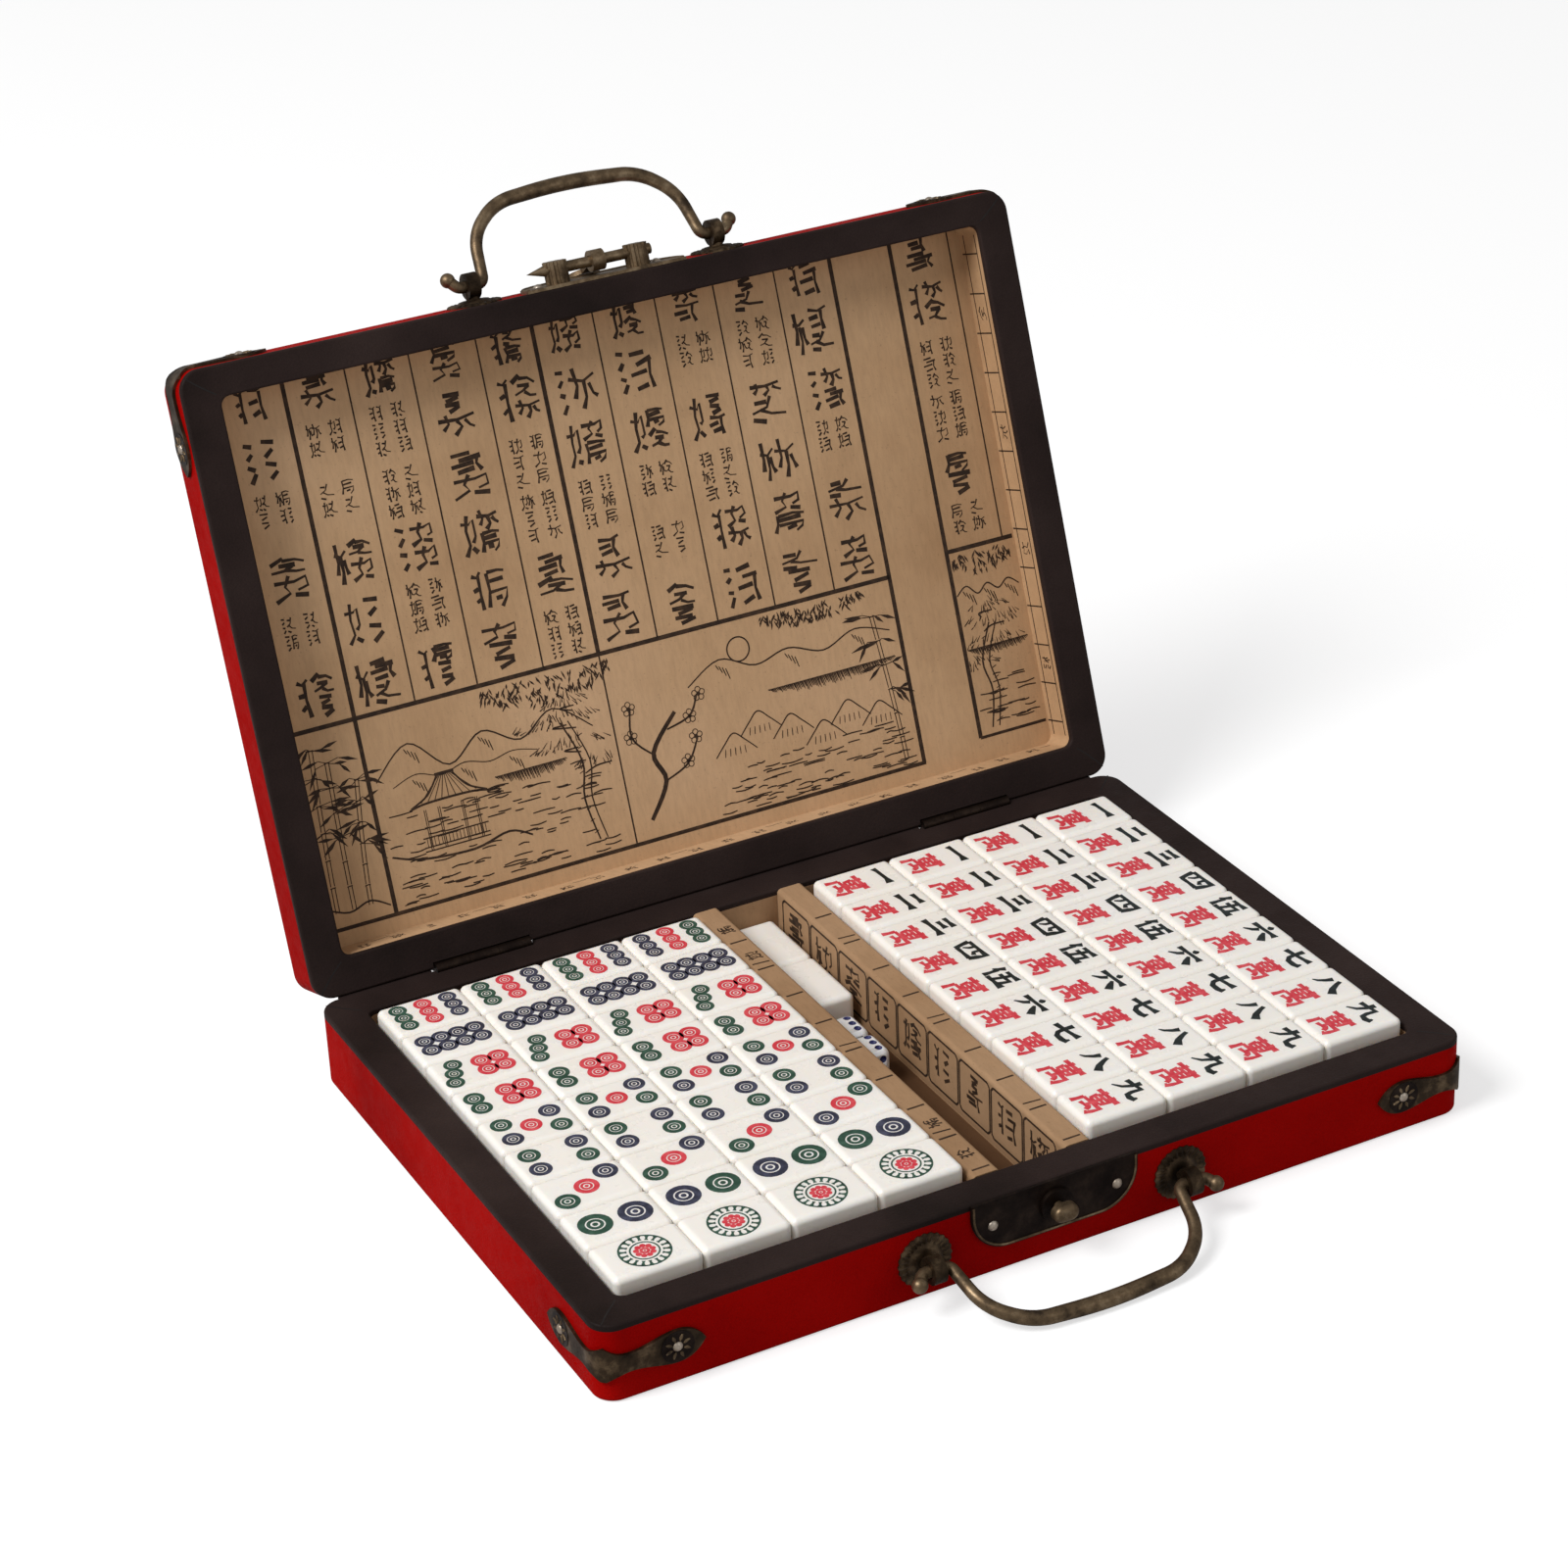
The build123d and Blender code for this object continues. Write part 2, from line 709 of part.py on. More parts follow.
ring_radius = rod_radius + hasp_ring_clearance + hasp_ring_wall
hasp_reach = rod_height - knob_height
slot_length = knob_head_length + 2 * hasp_slot_clearance
slot_width = knob_head_width + 2 * hasp_slot_clearance
hasp_axis = Axis((0, rod_y, rod_height), (1, 0, 0))
with BuildPart() as hasp:
    with Locations((0, rod_y, rod_height)):
        Cylinder(ring_radius, hasp_ring_width, rotation=(0, 90, 0))
    with BuildSketch(rod_plane.offset(-hasp_thickness / 2)):
        with Locations((0, -hasp_reach / 2)):
            Rectangle(hasp_ring_width, hasp_reach)
        with Locations((0, -hasp_reach)):
            SlotOverall(slot_length + 2 * hasp_end_margin, hasp_width, rotation=90)
            SlotOverall(slot_length, slot_width, rotation=90, mode=Mode.SUBTRACT)
    extrude(amount=hasp_thickness)
    with Locations((0, rod_y, rod_height)):
        Cylinder(
            rod_radius + hasp_ring_clearance,
            hasp_ring_width,
            rotation=(0, 90, 0),
            mode=Mode.SUBTRACT,
        )
save_on_lid(hasp.part.rotate(hasp_axis, -hasp_open_angle), "hasp")

knob_head_level = -half_depth - rod_y + hasp_thickness / 2 + hasp_gap
with BuildPart() as turn_knob:
    with BuildSketch(knob_plane.offset(-knob_stem_length)):
        Circle(knob_stem_radius)
    extrude(amount=knob_stem_length + knob_head_level)
    with BuildSketch(knob_plane.offset(knob_head_level)):
        SlotOverall(knob_head_length, knob_head_width)
    extrude(amount=knob_head_thickness)
    fillet(turn_knob.faces().sort_by(Axis.Y)[0].edges(), knob_head_edge_radius)
save(turn_knob.part, "turn_knob")

# Two butt hinges on the rear face. Each base leaf has a lug below its knuckles that the
# lid's leaf comes to rest on when the lid is fully open.
leaf_start = knuckle_radius + hinge_notch_gap
side_knuckle_width = (hinge_width - knuckle_width) / 2 - knuckle_side_gap
leaf_outer_y = half_depth + hinge_leaf_thickness
opened = radians(lid_open_angle)
leaf_face = leaf_outer_y - hinge_axis_y


def leaf_point(along):
    """A point just under the opened lid leaf's outer face, from the hinge axis, in Y and Z."""
    return (
        (leaf_face + stop_gap) * cos(opened) + along * sin(opened),
        -(leaf_face + stop_gap) * sin(opened) + along * cos(opened),
    )


def leaf_blank(centre, direction, knuckles):
    """A leaf under way: its plate, and a tongue and a knuckle at each (middle, width) pair."""
    flat = point_plane(rear_plane, -centre, hinge_axis_z)
    with BuildSketch(flat) as outline:
        with Locations((0, direction * (leaf_start + hinge_leaf_height) / 2)):
            Rectangle(hinge_width, hinge_leaf_height - leaf_start)
        for middle, width in knuckles:
            with Locations((-middle, direction * (leaf_start + closing_gap) / 2)):
                Rectangle(width, leaf_start - closing_gap)
    extrude(outline.sketch, amount=hinge_leaf_thickness)
    for middle, width in knuckles:
        with Locations((centre + middle, hinge_axis_y, hinge_axis_z)):
            Cylinder(knuckle_radius, width, rotation=(0, 90, 0))


def bore_hinge(centre):
    """Cut the pin's hole along one hinge."""
    with Locations((centre, hinge_axis_y, hinge_axis_z)):
        Cylinder(
            hinge_pin_radius + hinge_pin_clearance,
            hinge_width,
            rotation=(0, 90, 0),
            mode=Mode.SUBTRACT,
        )


knuckle_middle = (hinge_width - side_knuckle_width) / 2
side_knuckles = [(-knuckle_middle, side_knuckle_width), (knuckle_middle, side_knuckle_width)]
near_y, near_z = leaf_point(stop_near)
with BuildPart() as hinge_base_leaves:
    for centre in hinge_centres:
        leaf_blank(centre, -1, side_knuckles)
        stop_origin = (centre - stop_width / 2, hinge_axis_y, hinge_axis_z)
        with BuildSketch(Plane(origin=stop_origin, x_dir=(0, 1, 0), z_dir=(1, 0, 0))):
            with BuildLine():
                Polyline(
                    (leaf_face - hinge_leaf_thickness / 2, -leaf_start - stop_shelf),
                    (near_y - stop_nose, -leaf_start - stop_shelf),
                    (near_y, near_z),
                    leaf_point(stop_reach),
                    (leaf_face, -stop_foot),
                    (leaf_face - hinge_leaf_thickness / 2, -stop_foot),
                    close=True,
                )
            make_face()
        extrude(amount=stop_width)
        bore_hinge(centre)
    drill(base_hinge_nail_planes, nail_hole_radius, 2 * hinge_leaf_thickness)
save(hinge_base_leaves.part, "hinge_base_leaves")

with BuildPart() as hinge_lid_leaves:
    for centre in hinge_centres:
        leaf_blank(centre, 1, [(0, knuckle_width)])
        bore_hinge(centre)
    drill(lid_hinge_nail_planes, nail_hole_radius, 2 * hinge_leaf_thickness)
save_on_lid(hinge_lid_leaves.part, "hinge_lid_leaves")

with BuildPart() as hinge_pins:
    with Locations(*[(centre, hinge_axis_y, hinge_axis_z) for centre in hinge_centres]):
        Cylinder(hinge_pin_radius, hinge_width, rotation=(0, 90, 0))
save(hinge_pins.part, "hinge_pins")
save(nails(base_hinge_nail_planes), "hinge_base_nails")
save_on_lid(nails(lid_hinge_nail_planes), "hinge_lid_nails")
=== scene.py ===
"""Looks for a mahjong case: a low box with a hinged lid, trays of tiles, and bronze fittings."""

import math
import random

import bmesh
import bpy
from mathutils import Matrix, Vector


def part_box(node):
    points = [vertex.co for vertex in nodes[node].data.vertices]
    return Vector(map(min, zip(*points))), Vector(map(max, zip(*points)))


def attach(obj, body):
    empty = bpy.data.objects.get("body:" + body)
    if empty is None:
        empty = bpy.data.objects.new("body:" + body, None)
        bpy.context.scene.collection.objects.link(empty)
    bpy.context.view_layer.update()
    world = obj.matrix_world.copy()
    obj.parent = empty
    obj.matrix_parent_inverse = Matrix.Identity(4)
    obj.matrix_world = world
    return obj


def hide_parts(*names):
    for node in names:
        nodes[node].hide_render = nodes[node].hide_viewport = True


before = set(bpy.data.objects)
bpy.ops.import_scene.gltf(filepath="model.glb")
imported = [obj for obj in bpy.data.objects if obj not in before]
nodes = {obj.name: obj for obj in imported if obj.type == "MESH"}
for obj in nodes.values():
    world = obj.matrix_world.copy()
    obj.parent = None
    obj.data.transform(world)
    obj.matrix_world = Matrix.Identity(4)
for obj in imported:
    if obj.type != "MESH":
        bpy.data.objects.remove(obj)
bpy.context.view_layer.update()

# Lengths in millimetres: the case with its lid closed, and where its fittings sit
MM = 0.001
LID_PIVOT = Vector((0, 79.975, 20.55))
LID_TURN = Matrix.Rotation(math.radians(-109), 3, "X")
HALF_WIDTH = 115
BASE_FRONT = -79.875
LID_FRONT = -78.375
BASE_TOP = 20.5
LID_EDGE = 20.6
BASE_MIDDLE = 10.25
LID_MIDDLE = 27.85
HOLLOW_X = 105.6
HOLLOW_Y = 70.475


def lid_vector(x, y, z):
    """A direction on the closed lid, turned to where it points on the open lid."""
    return LID_TURN @ Vector((x, y, z))


def lid_point(x, y, z):
    """A point on the closed lid in millimetres, moved to its place on the open lid."""
    return LID_PIVOT + LID_TURN @ (Vector((x, y, z)) - LID_PIVOT)


def on_body(body, place, *directions):
    """A point and directions on the closed case, turned with the lid where they are on it."""
    if body == "lid":
        return lid_point(*place), *(lid_vector(*direction) for direction in directions)
    return Vector(place), *(Vector(direction) for direction in directions)


def set_inputs(node, values):
    for name, value in values.items():
        node.inputs[name].default_value = value


def add_object(name, data):
    made = bpy.data.objects.new(name, data)
    bpy.context.scene.collection.objects.link(made)
    return made


# Materials


class Surface:
    """A node material with helpers for the usual procedural patterns."""

    def __init__(self, name, roughness, metallic=0.0, coat=0.0, specular=0.5):
        self.material = bpy.data.materials.new(name)
        self.material.use_nodes = True
        self.tree = self.material.node_tree
        self.shader = self.tree.nodes["Principled BSDF"]
        set_inputs(self.shader, {
            "Roughness": roughness, "Metallic": metallic, "Coat Weight": coat,
            "Coat Roughness": 0.15, "Specular IOR Level": specular,
        })
        self.coordinates = self.node("ShaderNodeTexCoord").outputs["Object"]

    def node(self, kind, inputs=None, **settings):
        """A new node, with values for its inputs and for settings of its own."""
        made = self.tree.nodes.new(kind)
        for key, value in settings.items():
            setattr(made, key, value)
        set_inputs(made, inputs or {})
        return made

    def link(self, output, target):
        self.tree.links.new(output, target)

    def stretched(self, x, y, z):
        """The coordinates scaled by a factor along each axis."""
        mapping = self.node("ShaderNodeMapping", {"Scale": (x, y, z)})
        self.link(self.coordinates, mapping.inputs["Vector"])
        return mapping.outputs["Vector"]

    def noise(self, scale, detail, roughness=0.55, vector=None):
        values = {"Scale": scale, "Detail": detail, "Roughness": roughness}
        made = self.node("ShaderNodeTexNoise", values)
        self.link(vector or self.coordinates, made.inputs["Vector"])
        return made.outputs["Fac"]

    def cells(self, scale, feature="F1"):
        made = self.node("ShaderNodeTexVoronoi", {"Scale": scale}, feature=feature)
        self.link(self.coordinates, made.inputs["Vector"])
        return made.outputs["Distance"]

    def ramp(self, factor, *stops):
        """Colours or greys along a factor, given as (position, value) pairs."""
        made = self.node("ShaderNodeValToRGB")
        elements = made.color_ramp.elements
        while len(elements) < len(stops):
            elements.new(0.5)
        for element, (position, value) in zip(elements, stops):
            element.position = position
            rgb = value if isinstance(value, tuple) else (value, value, value)
            element.color = (*rgb, 1)
        self.link(factor, made.inputs["Fac"])
        return made.outputs["Color"]

    def multiply(self, strength, a, b):
        """One colour multiplied by another, with a strength from 0 to 1."""
        made = self.node("ShaderNodeMix", data_type="RGBA", blend_type="MULTIPLY")
        made.inputs["Factor"].default_value = strength
        self.link(a, made.inputs["A"])
        self.link(b, made.inputs["B"])
        return made.outputs["Result"]

    def colour(self, output):
        self.link(output, self.shader.inputs["Base Color"])

    def rough(self, output):
        self.link(output, self.shader.inputs["Roughness"])

    def bump(self, *heights):
        """Bump layers as (pattern, strength, distance in millimetres), the finest last."""
        normal = None
        for height, strength, distance in heights:
            values = {"Strength": strength, "Distance": distance * MM}
            made = self.node("ShaderNodeBump", values)
            self.link(height, made.inputs["Height"])
            if normal:
                self.link(normal, made.inputs["Normal"])
            normal = made.outputs["Normal"]
        self.link(normal, self.shader.inputs["Normal"])


def leatherette(name, deep, main, pale, roughness, grain, specular):
    """Fine-grained coated fabric with pebbles, painted shade in the creases between them, and
    rubbed patches.
    """
    surface = Surface(name, roughness, specular=specular)
    broad = surface.noise(22, 4)
    patches = surface.ramp(broad, (0.3, deep), (0.5, main), (0.78, pale))
    pebbles = surface.cells(grain)
    # Painted shade: the colour darkens along the creases between the pebbles.
    creases = surface.cells(grain * 0.9, "DISTANCE_TO_EDGE")
    painted_crease_shade = surface.ramp(creases, (0.0, 0.72), (0.12, 1.0))
    surface.colour(surface.multiply(0.55, patches, painted_crease_shade))
    worn = surface.noise(300, 3)
    surface.rough(surface.ramp(worn, (0.3, roughness - 0.08), (0.7, roughness + 0.1)))
    surface.bump(
        (surface.noise(60, 2), 0.25, 0.3),
        (pebbles, 0.35, 0.12),
        (surface.noise(2600, 2), 0.2, 0.05),
    )
    return surface.material


def brown_paper(name, deep, main, pale):
    """Matt brown paper with long fibres, flecks and soft stains."""
    surface = Surface(name, 0.82, specular=0.25)
    stains = surface.ramp(surface.noise(16, 5), (0.28, deep), (0.52, main), (0.76, pale))
    fibres = surface.noise(900, 4, 0.7, surface.stretched(1.0, 0.22, 0.22))
    streaks = surface.ramp(fibres, (0.34, 0.8), (0.6, 1.0))
    flecks = surface.ramp(surface.noise(1500, 2), (0.27, 0.55), (0.34, 1.0))
    fibred = surface.multiply(0.5, stains, streaks)
    surface.colour(surface.multiply(0.5, fibred, flecks))
    surface.bump((surface.noise(30, 2), 0.2, 0.4), (fibres, 0.3, 0.06))
    return surface.material


def polished(name, main, other, roughness, coat):
    """Cast plastic with a faint cloud in its colour and soft smears in its shine."""
    surface = Surface(name, roughness, coat=coat)
    clouds = surface.noise(45, 3)
    surface.colour(surface.ramp(clouds, (0.3, other), (0.7, main)))
    smears = surface.noise(140, 5, 0.6)
    surface.rough(surface.ramp(smears, (0.3, roughness - 0.05), (0.7, roughness + 0.08)))
    surface.bump((clouds, 0.1, 0.1), (surface.noise(1800, 3), 0.04, 0.02))
    set_inputs(surface.shader, {
        "Subsurface Weight": 0.3, "Subsurface Radius": (1.0, 0.8, 0.6), "Subsurface Scale": 0.0025,
    })
    return surface.material


def paint(name, main, pale, roughness=0.45):
    """Paint in a cut mark, a little uneven where it was wiped."""
    surface = Surface(name, roughness, specular=0.35)
    wiped = surface.noise(520, 4)
    surface.colour(surface.ramp(wiped, (0.42, main), (0.72, pale)))
    surface.bump((surface.noise(2400, 2), 0.15, 0.03))
    return surface.material


def aged_metal(name, dark, main, bright, roughness):
    """Cast metal with dark patina in the low places and rubbed bright patches."""
    surface = Surface(name, roughness, metallic=0.85)
    patina = surface.noise(170, 6, 0.65)
    base = surface.ramp(patina, (0.32, dark), (0.52, main), (0.74, bright))
    pits = surface.ramp(surface.cells(1500), (0.05, 0.45), (0.3, 1.0))
    surface.colour(surface.multiply(0.6, base, pits))
    surface.rough(surface.ramp(patina, (0.3, roughness + 0.18), (0.72, roughness - 0.08)))
    surface.bump((patina, 0.3, 0.15), (surface.noise(2200, 3), 0.25, 0.05))
    return surface.material


red_cover = leatherette(
    "red_leatherette", (0.27, 0.001, 0.001), (0.35, 0.002, 0.001), (0.42, 0.004, 0.003),
    0.5, 1700, 0.012,
)
black_cover = leatherette(
    "black_leatherette", (0.012, 0.008, 0.007), (0.024, 0.015, 0.0135), (0.040, 0.026, 0.023),
    0.52, 1500, 0.06,
)
seam_shadow = paint("seam_shadow", (0.006, 0.004, 0.004), (0.012, 0.009, 0.008), 0.7)
paper = brown_paper(
    "printed_paper", (0.42, 0.248, 0.126), (0.55, 0.345, 0.188), (0.62, 0.40, 0.232)
)
paper_ink = paint("paper_ink", (0.022, 0.010, 0.004), (0.06, 0.03, 0.014), 0.75)
divider_paper = brown_paper(
    "divider_paper", (0.27, 0.150, 0.072), (0.37, 0.222, 0.118), (0.42, 0.262, 0.148)
)
# Painted shade: a darker paper that stands for the deep shadow on the channel floor.
painted_shade_paper = brown_paper(
    "painted_shade_paper", (0.06, 0.026, 0.010), (0.11, 0.052, 0.022), (0.15, 0.075, 0.034)
)
tile_white = polished("tile_white", (0.95, 0.905, 0.85), (0.925, 0.875, 0.805), 0.28, 0.15)
tile_green = paint("tile_green", (0.018, 0.062, 0.042), (0.05, 0.12, 0.085))
tile_blue = paint("tile_blue", (0.024, 0.028, 0.052), (0.07, 0.078, 0.13))
tile_red = paint("tile_red", (0.62, 0.035, 0.055), (0.74, 0.10, 0.12))
tile_black = paint("tile_black", (0.006, 0.010, 0.010), (0.02, 0.03, 0.03))
die_white = polished("die_white", (0.88, 0.87, 0.86), (0.84, 0.83, 0.83), 0.22, 0.3)
pip_blue = paint("pip_blue", (0.012, 0.014, 0.085), (0.03, 0.035, 0.16))
bronze = aged_metal(
    "aged_bronze", (0.045, 0.03, 0.018), (0.17, 0.115, 0.065), (0.36, 0.27, 0.17), 0.42
)
dark_bronze = aged_metal(
    "dark_bronze", (0.008, 0.004, 0.003), (0.018, 0.010, 0.007), (0.045, 0.028, 0.019), 0.45
)
antique_bronze = aged_metal(
    "antique_bronze", (0.012, 0.007, 0.003), (0.052, 0.032, 0.017), (0.22, 0.15, 0.085), 0.44
)
nail_metal = aged_metal(
    "bright_nail", (0.22, 0.16, 0.10), (0.52, 0.44, 0.36), (0.72, 0.65, 0.56), 0.34
)


def dress(name, look):
    """Gives a CAD node one material."""
    node = nodes[name]
    node.data.materials.clear()
    node.data.materials.append(look)


for name in nodes:
    if name.endswith("_shell"):
        dress(name, red_cover)
    elif name.endswith("_rim"):
        dress(name, black_cover)
    elif name == "lid_lining":
        dress(name, paper)
    elif name == "base_lining" or name.endswith("_divider"):
        dress(name, divider_paper)
    elif "tile" in name:
        dress(name, tile_white)
    elif name.startswith("die_"):
        dress(name, die_white)
    elif name.endswith("_nails"):
        dress(name, nail_metal)
    elif name == "base_latch_plate" or "hinge_" in name:
        dress(name, dark_bronze)
    elif "_corner_" in name or name.endswith("_posts"):
        dress(name, antique_bronze)
    else:
        dress(name, bronze)


def fix_normals(piece):
    work = bmesh.new()
    work.from_mesh(piece.data)
    bmesh.ops.recalc_face_normals(work, faces=work.faces)
    work.to_mesh(piece.data)
    work.free()


def new_object(name, points, faces, look):
    """A mesh object in the scene, from points in metres."""
    mesh = bpy.data.meshes.new(name)
    mesh.from_pydata(points, [], faces)
    mesh.materials.append(look)
    return add_object(name, mesh)


def solid(name, points, faces, look, body, smooth=True):
    """A closed piece on a body, flat or smooth but for its sharp edges."""
    made = new_object(name, points, faces, look)
    fix_normals(made)
    if smooth:
        made.data.shade_smooth()
        made.data.set_sharp_from_angle(angle=math.radians(38))
    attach(made, body)
    return made


def loft(sections, points, faces):
    """Adds a closed solid through loops of points in millimetres, all of one length."""
    first, size = len(points), len(sections[0])
    last = first + (len(sections) - 1) * size
    points += [point * MM for section in sections for point in section]
    for start in range(first, last, size):
        for i in range(size):
            a, b = start + i, start + (i + 1) % size
            faces.append([a, b, b + size, a + size])
    faces.append([first + i for i in reversed(range(size))])
    faces.append([last + i for i in range(size)])


def around(x, y, radius, angle):
    """A point at an angle on a circle."""
    return (x + radius * math.cos(angle), y + radius * math.sin(angle))


def turns(count, start=0.0):
    """Equal steps round a full turn, in radians."""
    return [2 * math.pi * (i + start) / count for i in range(count)]


def catmull(a, b, c, d, t):
    """A smooth step from b to c, with a before them and d after."""
    return 0.5 * (
        2 * b + (c - a) * t + (2 * a - 5 * b + 4 * c - d) * t * t + (3 * b - a - 3 * c + d) * t**3
    )


# Marks: thin closed prisms that lie on a flat face


class Marks:
    """Painted marks on a flat face, in millimetres across and along it from an origin."""

    def __init__(self, origin, across, along, lift=0.03, sink=0.03):
        self.origin = Vector(origin)
        self.across = Vector(across).normalized()
        self.along = Vector(along).normalized()
        self.out = self.across.cross(self.along)
        self.lift = lift
        self.sink = sink
        self.count = 0
        self.points = []
        self.faces = []

    def place(self, x, y, height):
        point = self.origin + self.across * x + self.along * y + self.out * height
        return point * MM

    def prism(self, outline, pieces):
        """Closes an outline into a prism. The pieces are its flat faces, as outline indices."""
        top = self.lift + 0.004 * (self.count % 6)
        self.count += 1
        first = len(self.points)
        size = len(outline)
        self.points += [self.place(x, y, top) for x, y in outline]
        self.points += [self.place(x, y, -self.sink) for x, y in outline]
        for piece in pieces:
            self.faces.append([first + i for i in piece])
            self.faces.append([first + size + i for i in reversed(piece)])
        return first, size

    def wall(self, first, size, loop):
        """Side faces under a closed loop of outline indices."""
        for i, j in zip(loop, loop[1:] + loop[:1]):
            self.faces.append([first + i, first + size + i, first + size + j, first + j])

    def polygon(self, outline):
        loop = list(range(len(outline)))
        first, size = self.prism(outline, [loop])
        self.wall(first, size, loop)

    def disc(self, x, y, radius, sides):
        self.polygon([around(x, y, radius, a) for a in turns(sides)])

    def ring(self, x, y, outer, inner, sides):
        outline = [around(x, y, radius, a) for radius in (outer, inner) for a in turns(sides)]
        pieces = []
        for i in range(sides):
            j = (i + 1) % sides
            pieces.append([i, j, sides + j, sides + i])
        first, size = self.prism(outline, pieces)
        self.wall(first, size, list(range(sides)))
        self.wall(first, size, list(reversed(range(sides, 2 * sides))))

    def stroke(self, points):
        """A brush stroke through (x, y, width) points."""
        left, right = [], []
        last = len(points) - 1
        for i, (x, y, width) in enumerate(points):
            back, ahead = points[max(i - 1, 0)], points[min(i + 1, last)]
            dx, dy = ahead[0] - back[0], ahead[1] - back[1]
            length = math.hypot(dx, dy) or 1.0
            nx, ny = -dy / length * width / 2, dx / length * width / 2
            left.append((x + nx, y + ny))
            right.append((x - nx, y - ny))
        outline = right + list(reversed(left))
        total = len(outline)
        pieces = [[i, i + 1, total - 2 - i, total - 1 - i] for i in range(last)]
        first, size = self.prism(outline, pieces)
        self.wall(first, size, list(range(total)))

    def line(self, x0, y0, x1, y1, width):
        self.stroke([(x0, y0, width), (x1, y1, width)])

    def curve(self, points, width, steps=5):
        """A smooth stroke through (x, y) points that swells and tapers a little."""
        smooth = []
        padded = [points[0], *points, points[-1]]
        for a, b, c, d in zip(padded, padded[1:], padded[2:], padded[3:]):
            for step in range(steps):
                smooth.append(tuple(catmull(a[k], b[k], c[k], d[k], step / steps) for k in (0, 1)))
        smooth.append(points[-1])
        last = len(smooth) - 1
        shaped = []
        for i, (x, y) in enumerate(smooth):
            swell = 0.65 + 0.35 * math.sin(math.pi * (0.12 + 0.76 * i / last))
            shaped.append((x, y, width * swell))
        self.stroke(shaped)

    def build(self, name, look, body, slot):
        solid(name, self.points, self.faces, look, body, smooth=False)


# Tiles: columns run away from the hinge, and a tile's top edge points to the right

TILE_TOP = 22.8
TILE_LENGTH = 22
TILE_WIDTH = 14.8
TILE_GAP = 0.15
COLUMNS = range(4)
ROWS = range(1, 10)
LEFT_TILES_X = -104.9 + TILE_LENGTH / 2
RIGHT_TILES_X = 16.45 + TILE_LENGTH / 2
FRONT_TILES_Y = -68.075 + TILE_WIDTH / 2


def tile_middle(first_x, column, row):
    """The middle of a tile, with its column from the left and its row from the front."""
    return (
        first_x + column * (TILE_LENGTH + TILE_GAP),
        FRONT_TILES_Y + row * (TILE_WIDTH + TILE_GAP),
    )


def tile_marks():
    return Marks((0, 0, TILE_TOP), (1, 0, 0), (0, 1, 0))


green_dots, blue_dots, red_dots = tile_marks(), tile_marks(), tile_marks()
DOT_INKS = {"g": green_dots, "b": blue_dots, "r": red_dots}
OTHER_WAY = {"g": "b", "b": "g", "r": "r"}


def coin(ink, x, y, radius):
    """A dot: a broad ring round a second ring and a small centre."""
    ink.ring(x, y, radius, radius * 0.58, 22)
    ink.ring(x, y, radius * 0.49, radius * 0.28, 16)
    ink.disc(x, y, radius * 0.17, 8)


def wheel(x, y):
    """The single large dot: dark wedges between pale petals, a dashed ring and a flower."""
    wedge = (
        (-0.16, 6.0), (0.16, 6.0), (0.07, 5.45), (0.05, 4.7), (0.11, 4.1), (-0.11, 4.1),
        (-0.05, 4.7), (-0.07, 5.45),
    )
    for angle in turns(18):
        green_dots.polygon([around(x, y, radius, angle + turn) for turn, radius in wedge])
    green_dots.ring(x, y, 6.15, 5.7, 40)
    green_dots.ring(x, y, 3.55, 3.15, 26)
    for angle in turns(9):
        red_dots.disc(*around(x, y, 1.95, angle), 0.72, 10)
    red_dots.ring(x, y, 1.2, 0.5, 14)
    red_dots.disc(x, y, 0.3, 8)


DOT_LAYOUTS = {
    2: [("g", -5.0, 0, 4.1), ("b", 5.0, 0, 4.1)],
    3: [("g", -6.4, -3.5, 3.0), ("r", 0, 0, 3.0), ("b", 6.4, 3.5, 3.0)],
    4: [
        ("b", -6.0, -3.2, 2.75), ("g", -6.0, 3.2, 2.75),
        ("g", 6.0, -3.2, 2.75), ("b", 6.0, 3.2, 2.75),
    ],
    5: [
        ("b", -6.2, -3.4, 2.65), ("g", -6.2, 3.4, 2.65), ("r", 0, 0, 2.65),
        ("g", 6.2, -3.4, 2.65), ("b", 6.2, 3.4, 2.65),
    ],
    6: [
        ("g", -6.9, 2.3, 2.6), ("g", -6.9, -2.3, 2.6),
        ("r", 1.3, 2.2, 2.65), ("r", 1.3, -2.2, 2.65),
        ("r", 5.7, 2.2, 2.65), ("r", 5.7, -2.2, 2.65),
    ],
    7: [
        ("g", -5.1, 3.8, 2.3), ("g", -6.4, 0, 2.3), ("g", -7.7, -3.8, 2.3),
        ("r", 1.6, 2.15, 2.6), ("r", 1.6, -2.15, 2.6),
        ("r", 6.0, 2.15, 2.6), ("r", 6.0, -2.15, 2.6),
    ],
    8: [("b", x, y, 2.5) for x in (-6.6, -2.2, 2.2, 6.6) for y in (-2.25, 2.25)],
    9: [("grb"[i], -6.6 + 6.6 * i, y, 2.3) for i in range(3) for y in (-3.8, 0, 3.8)],
}
SWAPPED = {2: (1, 2), 3: (3,), 9: (3,)}

for column in COLUMNS:
    for number in ROWS:
        tile_x, tile_y = tile_middle(LEFT_TILES_X, column, number - 1)
        if number == 1:
            wheel(tile_x, tile_y)
            continue
        for colour, dx, dy, radius in DOT_LAYOUTS[number]:
            if column in SWAPPED.get(number, ()):
                colour = OTHER_WAY[colour]
            coin(DOT_INKS[colour], tile_x + dx, tile_y + dy, radius)

for ink, name, look in (
    (green_dots, "green_dots", tile_green), (blue_dots, "blue_dots", tile_blue),
    (red_dots, "red_dots", tile_red),
):
    ink.build(name, look, "left_upper_layer", "white_tile")

